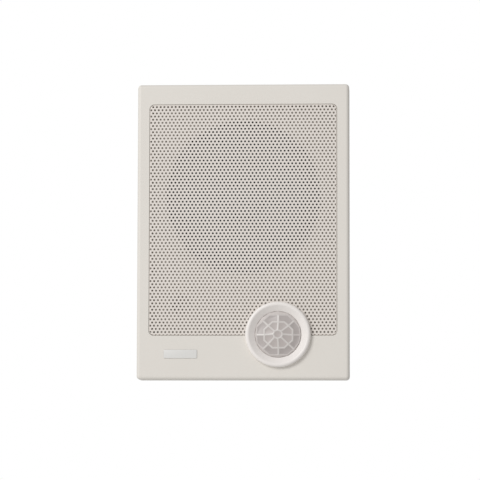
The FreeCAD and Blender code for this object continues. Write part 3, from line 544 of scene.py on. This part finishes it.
FINISHES: dict[str, Finish] = {
    "case_plastic": Finish(
        "satin_case_plastic", Pattern.GRAIN, CASE_WHITE, CASE_SHADE,
        grain=0.45, depth=0.006, roughness=0.48, cloud=60.0, share=0.15,
    ),
    "grille_paint": Finish(
        "powder_coated_grille", Pattern.PEEL, (0.79, 0.735, 0.685), (0.75, 0.695, 0.645),
        grain=0.7, depth=0.01, roughness=0.52, cloud=45.0, share=0.15,
    ),
    "plate_plastic": Finish(
        "smooth_plate_plastic", Pattern.GRAIN, (0.79, 0.775, 0.75), (0.76, 0.75, 0.73),
        grain=0.3, depth=0.002, roughness=0.36,
    ),
    "lens_plastic": Finish(
        "milky_lens_rib", Pattern.GRAIN, (0.70, 0.66, 0.64), (0.64, 0.61, 0.58),
        grain=0.3, depth=0.002, roughness=0.34,
    ),
    "inner_plastic": Finish(
        "plain_inner_plastic", Pattern.GRAIN, (0.62, 0.60, 0.57), (0.54, 0.52, 0.50),
        grain=0.5, depth=0.006, roughness=0.55,
    ),
    "soft_rubber": Finish(
        "soft_black_rubber", Pattern.GRAIN, (0.022, 0.022, 0.023), (0.04, 0.04, 0.04),
        grain=0.4, depth=0.01, roughness=0.72,
    ),
    "gasket_foam": Finish(
        "closed_cell_foam", Pattern.CELLS, (0.03, 0.03, 0.032), (0.07, 0.07, 0.07),
        grain=0.5, depth=0.08, roughness=0.9,
    ),
    "cone_paper": Finish(
        "pressed_paper_pulp", Pattern.PULP, (0.25, 0.27, 0.28), (0.34, 0.365, 0.38),
        grain=0.9, depth=0.04, roughness=0.86,
    ),
    "suspension_cloth": Finish(
        "doped_cloth", Pattern.WEAVE, (0.20, 0.205, 0.21), (0.30, 0.305, 0.31),
        grain=0.9, depth=0.05, roughness=0.74,
    ),
    "former_film": Finish(
        "amber_film", Pattern.GRAIN, (0.46, 0.27, 0.09), (0.36, 0.19, 0.06),
        grain=0.6, depth=0.002, roughness=0.32,
    ),
    "copper_wire": Finish(
        "enamelled_copper", Pattern.TURNS, (0.62, 0.25, 0.11), (0.40, 0.14, 0.06),
        grain=0.32, depth=0.08, roughness=0.30, metallic=0.9,
    ),
    "zinc_steel": Finish(
        "zinc_plated_steel", Pattern.BRUSHED, (0.58, 0.58, 0.57), (0.44, 0.44, 0.45),
        grain=0.25, depth=0.006, roughness=0.36, metallic=1.0, swing=0.16,
    ),
    "ferrite": Finish(
        "dull_ferrite", Pattern.CELLS, (0.045, 0.044, 0.047), (0.08, 0.08, 0.083),
        grain=0.6, depth=0.03, roughness=0.66,
    ),
    "strip_board": Finish(
        "pressed_laminate", Pattern.BRUSHED, (0.30, 0.14, 0.06), (0.20, 0.09, 0.035),
        grain=0.2, depth=0.01, roughness=0.58,
    ),
    "tinned_brass": Finish(
        "tinned_brass", Pattern.BRUSHED, (0.66, 0.64, 0.57), (0.52, 0.50, 0.44),
        grain=0.3, depth=0.006, roughness=0.30, metallic=1.0,
    ),
    "circuit_board": Finish(
        "lacquered_board", Pattern.TRACES, (0.02, 0.10, 0.04), (0.05, 0.19, 0.08),
        grain=2.4, depth=0.03, roughness=0.34, share=0.8,
    ),
    "black_plastic": Finish(
        "moulded_black_plastic", Pattern.GRAIN, (0.018, 0.018, 0.019), (0.035, 0.035, 0.036),
        grain=0.4, depth=0.008, roughness=0.46,
    ),
    "terminal_plastic": Finish(
        "green_terminal_plastic", Pattern.GRAIN, (0.03, 0.22, 0.10), (0.02, 0.16, 0.07),
        grain=0.4, depth=0.006, roughness=0.42,
    ),
    "socket_plastic": Finish(
        "ivory_socket_plastic", Pattern.GRAIN, (0.70, 0.66, 0.54), (0.62, 0.58, 0.46),
        grain=0.4, depth=0.006, roughness=0.44,
    ),
    "sink_metal": Finish(
        "extruded_aluminium", Pattern.BRUSHED, (0.60, 0.61, 0.62), (0.48, 0.49, 0.50),
        grain=0.2, depth=0.008, roughness=0.38, metallic=1.0,
    ),
    "lead_sleeve": Finish(
        "soft_lead_sleeve", Pattern.GRAIN, (0.03, 0.03, 0.03), (0.05, 0.05, 0.05),
        grain=0.5, depth=0.004, roughness=0.40,
    ),
}


def centre_of(node: str) -> Vector:
    """Middle of a node's box at rest."""
    low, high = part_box(node)
    return (low + high) / 2


@dataclass
class PerforatedGrille:
    """Pressed tray of finely perforated sheet; sizes in metres, the tray's own from its solid."""

    finish: bpy.types.Material
    pitch: float = 3.47 * MM
    row_pitch: float = 2.927 * MM
    pattern_rise: float = 0.5 * MM
    hole_radius: float = 1.0 * MM
    hole_sides: int = 8
    columns: int = 55
    row_pairs: int = 39
    sheet: float = 0.8 * MM
    bend: float = 0.8 * MM
    bend_steps: int = 2
    corner: float = 4.3 * MM
    notch_radius: float = 28.2 * MM
    slant_share: float = 0.1
    weld: float = 0.02 * MM
    cut_margin: float = 0.001 * MM
    level_angle: float = 1.0
    smooth_angle: float = 50.0
    half: Vector = field(init=False)
    middle: Vector = field(init=False)
    front: float = field(init=False)
    depth: float = field(init=False)
    quarter: float = field(init=False)
    reach: float = field(init=False)

    def build(self) -> bpy.types.Object:
        """Models one hole, repeats it over the sheet, trims the sheet and presses it into its tray.

        Returns:
            The grille.
        """
        low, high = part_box("grille")
        self.half = Vector(((high.x - low.x) / 2, (high.z - low.z) / 2))
        self.middle = Vector(((high.x + low.x) / 2, (high.z + low.z) / 2))
        self.front, self.depth = low.y, high.y - low.y
        self.quarter = self.bend * math.pi / 2
        self.reach = self.quarter + self.depth - self.bend
        piece = self.perforated_sheet()
        self.trim(piece)
        self.press(piece)
        self.thicken(piece)
        self.dress(piece)
        return piece

    def perforated_sheet(self) -> bpy.types.Object:
        """Models two staggered holes in their cells and repeats them in columns and rows.

        Returns:
            A flat sheet about the origin.
        """
        Bench.clear()
        bpy.ops.mesh.primitive_circle_add(vertices=self.hole_sides, radius=self.hole_radius)
        piece = Bench.take("perforated_grille")
        with Bench.editing(piece, Domain.VERTEX):
            bpy.ops.mesh.extrude_region_move()
            rim = {vertex.index for vertex in bmesh.from_edit_mesh(piece.data).verts if vertex.select}
            for corner, reach in ((False, self.hole_radius), (True, self.hole_radius * math.sqrt(0.5))):

                def wanted(vertex: bmesh.types.BMVert, corner: bool = corner) -> bool:
                    """Picks the cell's corners, or the middles of its sides."""
                    slant = min(abs(vertex.co.x), abs(vertex.co.y))
                    return vertex.index in rim and (slant > self.slant_share * self.hole_radius) == corner

                Bench.pick(Domain.VERTEX, wanted)
                spread = (self.pitch / 2 / reach, self.row_pitch / 2 / reach, 1.0)
                bpy.ops.transform.resize(value=spread, center_override=(0.0, 0.0, 0.0))
            bpy.ops.mesh.select_all(action="SELECT")
            step = (self.pitch / 2, self.row_pitch, 0.0)
            bpy.ops.mesh.duplicate_move(TRANSFORM_OT_translate={"value": step})
        repeats = ((self.columns, (self.pitch, 0.0, 0.0)), (self.row_pairs, (0.0, 2 * self.row_pitch, 0.0)))
        for count, offset in repeats:
            Bench.modify(piece, "ARRAY", {
                "use_relative_offset": False,
                "use_constant_offset": True,
                "constant_offset_displace": offset,
                "count": count,
                "use_merge_vertices": True,
                "merge_threshold": TOUCH,
            })
        across = -(self.columns // 2) * self.pitch
        up = self.pattern_rise - (self.row_pairs - 0.5) * self.row_pitch
        with Bench.editing(piece, Domain.VERTEX):
            bpy.ops.mesh.remove_doubles(threshold=self.weld)
            bpy.ops.mesh.select_all(action="SELECT")
            bpy.ops.transform.translate(value=(across, up, 0.0))
        return piece

    def trim(self, piece: bpy.types.Object) -> None:
        """Closes the holes past the flat front, cuts the sheet to length and scores the lines of its bends.

        Args:
            piece: The flat sheet.
        """
        flat = self.half - Vector((self.bend, self.bend))

        def past(edge: bmesh.types.BMEdge) -> bool:
            """Picks the open edges that lie past the flat front."""
            ends = [vertex.co for vertex in edge.verts]
            return edge.is_boundary and all(abs(end.x) > flat.x or abs(end.y) > flat.y for end in ends)

        with Bench.editing(piece, Domain.EDGE):
            Bench.pick(Domain.EDGE, past)
            bpy.ops.mesh.fill_holes(sides=self.hole_sides)
        scores = [self.quarter * step / self.bend_steps for step in range(self.bend_steps + 1)]
        sides = ((0, (-1.0, 0.0, 0.0)), (0, (1.0, 0.0, 0.0)), (1, (0.0, -1.0, 0.0)), (1, (0.0, 1.0, 0.0)))
        with Bench.editing(piece, Domain.FACE):
            for axis, normal in sides:
                for line in (self.reach, *scores):
                    place = Vector(normal) * (flat[axis] + line)
                    bpy.ops.mesh.select_all(action="SELECT")
                    bpy.ops.mesh.bisect(plane_co=place, plane_no=normal, clear_outer=line == self.reach)

    def pressed(self, across: float, up: float) -> tuple[float, float, float, bool]:
        """Follows a point of the flat sheet over the tray's bend.

        Args:
            across: The point's place to the right of the middle.
            up: Its place above the middle.

        Returns:
            Its place across and up, its depth behind the front, and whether the sheet is cut off there.
        """
        inner = self.corner - self.bend
        core = self.half - Vector((self.corner, self.corner))
        beyond = Vector((abs(across) - core.x, abs(up) - core.y))
        if beyond.x > 0 and beyond.y > 0:
            outward = beyond.normalized()
            past = beyond.length - inner
        else:
            outward = Vector((1.0, 0.0)) if beyond.x > beyond.y else Vector((0.0, 1.0))
            past = max(beyond) - inner
        if past <= 0:
            return across, up, 0.0, False
        along = min(past, self.reach)
        turn = min(along, self.quarter) / self.bend
        out = self.bend * math.sin(turn)
        drop = self.bend * (1 - math.cos(turn)) + max(0.0, along - self.quarter)
        shift = outward * (out - past)
        moved_across = across + math.copysign(1.0, across) * shift.x
        moved_up = up + math.copysign(1.0, up) * shift.y
        return moved_across, moved_up, drop, past > self.reach - self.cut_margin

    def press(self, piece: bpy.types.Object) -> None:
        """Bends the sheet's edges back, cuts the notch for the sensor and clears the walls of old cells.

        Args:
            piece: The trimmed flat sheet.
        """
        sensor = centre_of("sensor_bezel")
        ends: set[int] = set()
        inside: set[int] = set()
        for vertex in piece.data.vertices:
            across, up, drop, cut = self.pressed(vertex.co.x, vertex.co.y)
            place = Vector((self.middle.x + across, self.front + drop, self.middle.y + up))
            offset = Vector((place.x - sensor.x, place.z - sensor.z))
            if cut:
                ends.add(vertex.index)
            if offset.length < self.notch_radius:
                inside.add(vertex.index)
                offset *= self.notch_radius / offset.length
                place.x, place.z = sensor.x + offset.x, sensor.z + offset.y
            vertex.co = place

        def waste(face: bmesh.types.BMFace) -> bool:
            """Picks the faces that lie wholly in the notch or past the ends of the walls."""
            points = {vertex.index for vertex in face.verts}
            return points <= inside or points <= ends

        with Bench.editing(piece, Domain.FACE):
            Bench.pick(Domain.FACE, waste)
            bpy.ops.mesh.delete(type="FACE")
            bpy.ops.mesh.select_all(action="SELECT")
            bpy.ops.mesh.delete_loose()
            wall = self.front + self.bend - TOUCH
            Bench.pick(Domain.FACE, lambda face: all(vertex.co.y > wall for vertex in face.verts))
            bpy.ops.mesh.dissolve_limited(angle_limit=math.radians(self.level_angle))
            bpy.ops.mesh.select_all(action="SELECT")
            Bench.face_front(piece)

    def thicken(self, piece: bpy.types.Object) -> None:
        """Gives the sheet its thickness behind its face and levels the ends of its walls.

        Args:
            piece: The pressed sheet, still without thickness.
        """
        Bench.modify(piece, "SOLIDIFY", {"thickness": self.sheet, "offset": -1.0})
        for vertex in piece.data.vertices:
            vertex.co.y = min(vertex.co.y, self.front + self.depth)

    def dress(self, piece: bpy.types.Object) -> None:
        """Paints the grille and puts it in its solid's place.

        Args:
            piece: The finished tray.
        """
        piece.data.materials.append(self.finish)
        Bench.smooth(piece, self.smooth_angle)
        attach(piece, CABINET)
        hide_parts("grille")


@dataclass
class FacetedLens:
    """Milky dome divided into flat facets by raised ribs; sizes in metres."""

    rib_finish: bpy.types.Material
    facet_finish: bpy.types.Material
    skirt_finish: bpy.types.Material
    spokes: int = 8
    hub: float = 4.1 * MM
    ring: float = 13.4 * MM
    rim: float = 20.0 * MM
    edge: float = 21.25 * MM
    foot: float = 21.29 * MM
    step: float = 0.8 * MM
    shoulder: float = 2.1 * MM
    rise: float = 5.3 * MM
    wide: float = 1.05
    high: float = 0.957
    outer_wide: float = 1.1
    rim_reach: float = 0.985
    lean: tuple[float, float] = (0.5 * MM, -0.6 * MM)
    flange: float = 1.1 * MM
    half_rib: float = 0.75 * MM
    half_outer_rib: float = 0.8 * MM
    rib_height: float = 0.3 * MM
    soften: float = 0.1 * MM
    soften_steps: int = 2
    soften_angle: float = 30.0
    smooth_angle: float = 25.0

    def build(self) -> bpy.types.Object:
        """Models the dome ring by ring, sinks its facets between the ribs and gives it a wall.

        Returns:
            The lens.
        """
        piece = self.dome()
        self.sink_facets(piece)
        Bench.modify(piece, "SOLIDIFY", {"thickness": self.flange, "offset": -1.0})
        Bench.modify(piece, "BEVEL", {
            "width": self.soften,
            "segments": self.soften_steps,
            "limit_method": "ANGLE",
            "angle_limit": math.radians(self.soften_angle),
        })
        self.dress(piece)
        return piece

    def dome(self) -> bpy.types.Object:
        """Draws the hub, extrudes it out ring by ring to the flange, and lifts all of it on a sphere.

        Returns:
            The dome's outer face, in place.
        """
        low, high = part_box("fresnel_lens")
        middle = (low + high) / 2
        Bench.clear()
        bpy.ops.mesh.primitive_circle_add(vertices=2 * self.spokes, radius=self.hub, fill_type="NGON")
        piece = Bench.take("faceted_lens")
        with Bench.editing(piece, Domain.EDGE):
            Bench.pick(Domain.EDGE, lambda edge: edge.is_boundary)
            last = self.hub
            for radius in (self.ring, self.rim, self.edge, self.foot, (high.x - low.x) / 2):
                bpy.ops.mesh.extrude_edges_move()
                scale = radius / last
                bpy.ops.transform.resize(value=(scale, scale, 1.0), center_override=(0.0, 0.0, 0.0))
                last = radius
        bulge = self.rise - self.shoulder
        sphere = (self.rim ** 2 + bulge ** 2) / (2 * bulge)
        seat = high.y - self.flange
        flat = math.cos(math.pi / self.spokes)
        for vertex in piece.data.vertices:
            radius, turn = self.polar(vertex.co.x, vertex.co.y)
            on_spoke = turn % 2 == 0
            lift = self.step if radius < self.edge + TOUCH else 0.0
            if radius < self.rim + TOUCH:
                if on_spoke == (radius > self.hub + TOUCH):
                    vertex.co *= flat
                if radius < self.ring + TOUCH:
                    vertex.co.x *= self.wide
                    vertex.co.y *= self.high
                else:
                    vertex.co.x *= self.outer_wide
                if radius > self.hub + TOUCH:
                    vertex.co += Vector((*self.lean, 0.0))
                if vertex.co.length > self.rim_reach * self.edge:
                    vertex.co *= self.rim_reach * self.edge / vertex.co.length
                lift = self.rise - sphere + math.sqrt(sphere ** 2 - vertex.co.length ** 2)
            vertex.co = (middle.x + vertex.co.x, seat - lift, middle.z + vertex.co.y)
        return piece

    def polar(self, across: float, up: float) -> tuple[float, int]:
        """Radius of a point about the lens's middle and its step round the lens, two to a facet."""
        return math.hypot(across, up), round(math.atan2(up, across) * self.spokes / math.pi)

    def sink_facets(self, piece: bpy.types.Object) -> None:
        """Joins the two halves of each facet and sinks it below the ribs.

        Args:
            piece: The dome's outer face.
        """
        middle = centre_of("fresnel_lens")
        skirt = self.rim * math.cos(math.pi / self.spokes) - 2 * self.half_outer_rib
        inside = self.edge - TOUCH
        between = (self.ring + self.rim) / 2

        def spot(vertex: bmesh.types.BMVert) -> tuple[float, int]:
            """Radius and step of a vertex."""
            return self.polar(vertex.co.x - middle.x, vertex.co.z - middle.z)

        def splits(edge: bmesh.types.BMEdge) -> bool:
            """Picks the lines that run out through the middle of a facet."""
            (first, step), (second, other) = (spot(vertex) for vertex in edge.verts)
            return step == other and step % 2 != 0 and max(first, second) < inside

        with Bench.editing(piece, Domain.EDGE):
            Bench.face_front(piece)
            Bench.pick(Domain.EDGE, splits)
            bpy.ops.mesh.dissolve_edges(use_verts=False)
            for start, end, width in ((0.0, between, self.half_rib), (between, inside, self.half_outer_rib)):
                Bench.pick(Domain.FACE, lambda face: start < max(spot(v)[0] for v in face.verts) < end)
                bpy.ops.mesh.inset(thickness=width, depth=-self.rib_height, use_individual=True)
                for face in bmesh.from_edit_mesh(piece.data).faces:
                    if face.select:
                        face.material_index = LensZone.FACET
            for face in bmesh.from_edit_mesh(piece.data).faces:
                if not face.select and math.dist(face.calc_center_median().xz, middle.xz) > skirt:
                    face.material_index = LensZone.SKIRT
            bmesh.update_edit_mesh(piece.data)

    def dress(self, piece: bpy.types.Object) -> None:
        """Gives ribs, facets and skirt their films and puts the lens in its solid's place.

        Args:
            piece: The finished lens.
        """
        films = {
            LensZone.RIB: self.rib_finish,
            LensZone.FACET: self.facet_finish,
            LensZone.SKIRT: self.skirt_finish,
        }
        for zone in LensZone:
            piece.data.materials.append(films[zone])
        Bench.smooth(piece, self.smooth_angle)
        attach(piece, CABINET)
        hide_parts("fresnel_lens")


@dataclass
class BarePlate:
    """Bare raised plate with rounded corners and a softened front edge; sizes in metres."""

    finish: bpy.types.Material
    corner: float = 0.7 * MM
    corner_steps: int = 5
    soften: float = 0.25 * MM
    soften_steps: int = 3
    smooth_angle: float = 25.0

    def build(self) -> bpy.types.Object:
        """Models the plate from a block: rounds its corners, then softens its front edge.

        Returns:
            The plate.
        """
        low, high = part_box("name_plate")
        Bench.clear()
        bpy.ops.mesh.primitive_cube_add(size=1.0, location=(low + high) / 2, scale=high - low)
        piece = Bench.take("bare_plate")
        bpy.ops.object.transform_apply(location=True, rotation=True, scale=True)
        with Bench.editing(piece, Domain.EDGE):
            Bench.pick(Domain.EDGE, lambda edge: abs(edge.verts[0].co.y - edge.verts[1].co.y) > TOUCH)
            bpy.ops.mesh.bevel(offset=self.corner, segments=self.corner_steps, affect="EDGES")
            Bench.pick(Domain.EDGE, lambda edge: all(vertex.co.y < low.y + TOUCH for vertex in edge.verts))
            bpy.ops.mesh.bevel(offset=self.soften, segments=self.soften_steps, affect="EDGES")
        self.dress(piece)
        return piece

    def dress(self, piece: bpy.types.Object) -> None:
        """Finishes the plate and puts it in its solid's place.

        Args:
            piece: The finished plate.
        """
        piece.data.materials.append(self.finish)
        Bench.smooth(piece, self.smooth_angle)
        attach(piece, CABINET)
        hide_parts("name_plate")


@dataclass
class SoftRing(ABC):
    """Turned soft sheet that joins the driver's frame to its moving cone; sizes in metres.

    The frame holds it outside one radius, and it follows the cone inside another.
    """

    finish: bpy.types.Material
    name: str
    node: str
    outer: float
    hold: float
    follow: float
    inner: float
    sheet: float
    sides: int = 96
    smooth_angle: float = 40.0

    @abstractmethod
    def profile(self) -> list[tuple[float, float]]:
        """Radius and height above the flat of each turn, from the outer edge inward."""

    def build(self) -> bpy.types.Object:
        """Extrudes the outer edge inward turn by turn and gives the sheet its thickness behind.

        Returns:
            The ring.
        """
        low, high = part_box(self.node)
        middle = (low + high) / 2
        turns = self.profile()
        front = high.y - self.sheet + min(height for _, height in turns)
        Bench.clear()
        bpy.ops.mesh.primitive_circle_add(vertices=self.sides, radius=self.outer)
        piece = Bench.take(self.name)
        with Bench.editing(piece, Domain.EDGE):
            for (last, before), (radius, height) in zip(turns, turns[1:]):
                scale = radius / last
                bpy.ops.mesh.extrude_edges_move()
                bpy.ops.transform.resize(value=(scale, scale, 1.0), center_override=(0.0, 0.0, 0.0))
                bpy.ops.transform.translate(value=(0.0, 0.0, height - before))
        for vertex in piece.data.vertices:
            vertex.co = (middle.x + vertex.co.x, front - vertex.co.z, middle.z + vertex.co.y)
        with Bench.editing(piece, Domain.FACE):
            Bench.face_front(piece)
        Bench.modify(piece, "SOLIDIFY", {"thickness": self.sheet, "offset": -1.0})
        self.dress(piece, middle)
        return piece

    def dress(self, piece: bpy.types.Object, middle: Vector) -> None:
        """Covers the ring in its cloth.

        Its points are laid along one line by their distance from the axis while its transform is baked, then
        put back.

        Args:
            piece: The ring.
            middle: A point on the driver's axis.
        """
        piece.data.materials.append(self.finish)
        Bench.smooth(piece, self.smooth_angle)
        places = [vertex.co.copy() for vertex in piece.data.vertices]
        for vertex, place in zip(piece.data.vertices, places):
            vertex.co = (math.dist(place.xz, middle.xz), 0.0, 0.0)
        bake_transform(piece)
        for vertex, place in zip(piece.data.vertices, places):
            vertex.co = place
        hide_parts(self.node)


@dataclass
class HalfRollSurround(SoftRing):
    """Edge of the cone, with a half roll that opens and closes as the cone travels."""

    name: str = "half_roll_surround"
    node: str = "surround"
    outer: float = 70.7 * MM
    hold: float = 65.5 * MM
    follow: float = 59.5 * MM
    inner: float = 56.9 * MM
    sheet: float = 0.8 * MM
    roll: float = 3.3 * MM
    steps: int = 12

    def profile(self) -> list[tuple[float, float]]:
        """Draws the flat seat, the half roll and the glued lip.

        Returns:
            Radius and height of each turn, from the outer edge inward.
        """
        half = (self.hold - self.follow) / 2
        centre = math.sqrt(self.roll ** 2 - half ** 2)
        arc = []
        for step in range(self.steps + 1):
            across = half * math.cos(math.pi * step / self.steps)
            arc.append((self.hold - half + across, math.sqrt(self.roll ** 2 - across ** 2) - centre))
        return [(self.outer, 0.0), *arc, (self.inner, 0.0)]


@dataclass
class CorrugatedSpider(SoftRing):
    """Centring disc behind the cone, pressed into round waves."""

    name: str = "corrugated_spider"
    node: str = "spider"
    outer: float = 41.7 * MM
    hold: float = 33.5 * MM
    follow: float = 15.4 * MM
    inner: float = 12.9 * MM
    sheet: float = 0.6 * MM
    wave: float = 1.2 * MM
    folds: int = 7
    steps: int = 4

    def profile(self) -> list[tuple[float, float]]:
        """Draws the flat seat, the waves and the glued lip.

        Returns:
            Radius and height of each turn, from the outer edge inward.
        """
        width = (self.hold - self.follow) / self.folds
        crests = [self.wave * (-1.0) ** fold for fold in range(1, self.folds)]
        peaks = [0.0, *crests, 0.0]
        waves = [(self.hold, 0.0)]
        for fold in range(self.folds):
            for step in range(1, self.steps + 1):
                share = step / self.steps
                eased = (1.0 - math.cos(math.pi * share)) / 2
                height = peaks[fold] + (peaks[fold + 1] - peaks[fold]) * eased
                waves.append((self.hold - width * (fold + share), height))
        return [(self.outer, 0.0), *waves, (self.inner, 0.0)]


@dataclass
class Studio:
    """Camera at the photo's angle, soft light from the left, and a pale floor; metres and degrees."""

    azimuth: float = 3.0
    elevation: float = -5.0
    roll: float = 0.12
    distance: float = 2.5
    view_width: float = 0.4405
    aim: tuple[float, float] = (-3.0, 8.8)
    sensor: float = 36.0
    ambient: float = 0.46
    key_power: float = 131.0
    key_from: Triple = (-0.52, -0.76, 0.42)
    back_power: float = 45.0
    back_from: Triple = (-0.55, 0.75, 0.45)
    light_distance: float = 5.0
    light_size: float = 2.0
    floor_level: float = -1.3
    floor_size: float = 9.0
    face: Vector = field(init=False)

    def build(self) -> None:
        """Sets up the camera, the world, the lights and the floor."""
        bpy.context.scene.view_settings.view_transform = "Standard"
        low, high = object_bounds()
        self.face = Vector(((low.x + high.x) / 2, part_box("front_cover")[0].y, (low.z + high.z) / 2))
        self.camera()
        self.world()
        self.light("key_light", self.key_from, self.key_power)
        self.light("back_light", self.back_from, self.back_power)
        self.floor()

    def camera(self) -> None:
        """Places the camera so that the case's front falls where the photo has it."""
        turn, tilt = math.radians(self.azimuth), math.radians(self.elevation)
        back = Vector((math.sin(turn) * math.cos(tilt), -math.cos(turn) * math.cos(tilt), math.sin(tilt)))
        data = bpy.data.cameras.new("photo_camera")
        data.sensor_width = self.sensor
        data.lens = self.sensor * self.distance / self.view_width
        camera = bpy.data.objects.new("photo_camera", data)
        bpy.context.scene.collection.objects.link(camera)
        facing = (-back).to_track_quat("-Z", "Y") @ Quaternion((0.0, 0.0, 1.0), math.radians(self.roll))
        pixel = self.view_width / PHOTO_PIXELS
        aside = facing @ Vector((self.aim[0] * pixel, -self.aim[1] * pixel, 0.0))
        camera.location = self.face + back * self.distance + aside
        camera.rotation_mode = "QUATERNION"
        camera.rotation_quaternion = facing
        bpy.context.scene.camera = camera

    def world(self) -> None:
        """Lights the scene evenly and shows a plain white ground to the camera."""
        world = bpy.data.worlds.new("studio_white")
        bpy.context.scene.world = world
        recipe = Recipe(world)
        white = (1.0, 1.0, 1.0, 1.0)
        rays = recipe.node("ShaderNodeLightPath", {}, {})
        lit = recipe.node("ShaderNodeBackground", {}, {"Color": white, "Strength": self.ambient})
        seen = recipe.node("ShaderNodeBackground", {}, {"Color": white, "Strength": 1.0})
        choice = {0: rays.outputs["Is Camera Ray"], 1: lit.outputs[0], 2: seen.outputs[0]}
        mix = recipe.node("ShaderNodeMixShader", {}, choice)
        recipe.node("ShaderNodeOutputWorld", {}, {"Surface": mix.outputs[0]})

    def light(self, name: str, direction: Triple, power: float) -> None:
        """Hangs a square soft light that faces the case.

        Args:
            name: The light's name.
            direction: Where it stands as seen from the case.
            power: Its power in watts.
        """
        data = bpy.data.lights.new(name, "AREA")
        data.energy = power
        data.size = self.light_size
        lamp = bpy.data.objects.new(name, data)
        bpy.context.scene.collection.objects.link(lamp)
        away = Vector(direction).normalized()
        lamp.location = self.face + away * self.light_distance
        lamp.rotation_mode = "QUATERNION"
        lamp.rotation_quaternion = (-away).to_track_quat("-Z", "Y")

    def floor(self) -> None:
        """Lays a pale floor well below the case."""
        Bench.clear()
        bpy.ops.mesh.primitive_plane_add(size=self.floor_size, location=(0.0, 0.0, self.floor_level))
        floor = Bench.take("studio_floor")
        floor.data.materials.append(PALE_FLOOR.material())
        floor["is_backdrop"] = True


def dress_nodes(frame: dict[str, Any], materials: dict[str, bpy.types.Material]) -> None:
    """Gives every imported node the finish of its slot.

    Args:
        frame: The loaded frame.
        materials: Finished materials by slot, and by node where one has its own.
    """
    for part in frame["record"]["subparts"]:
        node = frame["nodes"][part["node"]]
        if not node.material_slots:
            node.data.materials.append(None)
        for slot in node.material_slots:
            slot.material = materials.get(part["node"], materials[part["material_slot"]])


def main() -> None:
    """Loads the frame, builds each piece, dresses the nodes and sets up the studio."""
    logging.basicConfig(level=logging.INFO, format="%(message)s")
    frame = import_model()
    materials = {slot: finish.material() for slot, finish in FINISHES.items()}
    # The sensor ring takes the lighter copy of the case plastic, which is painted light.
    materials["sensor_bezel"] = RING_PLASTIC_PAINTED_LIGHT.material()
    dress_nodes(frame, materials)
    log.info("dressed %d nodes", len(frame["nodes"]))
    facet = LensFilm(centre_of("fresnel_lens"))
    pieces = [
        PerforatedGrille(materials["grille_paint"]),
        FacetedLens(materials["lens_plastic"], facet.material(), LENS_SKIRT.material()),
        BarePlate(materials["plate_plastic"]),
        HalfRollSurround(materials["suspension_cloth"]),
        CorrugatedSpider(materials["suspension_cloth"]),
    ]
    for maker in pieces:
        made = maker.build()
        made.data.calc_loop_triangles()
        log.info("%s: %d triangles", made.name, len(made.data.loop_triangles))
    Studio().build()


if __name__ == "__main__":
    main()
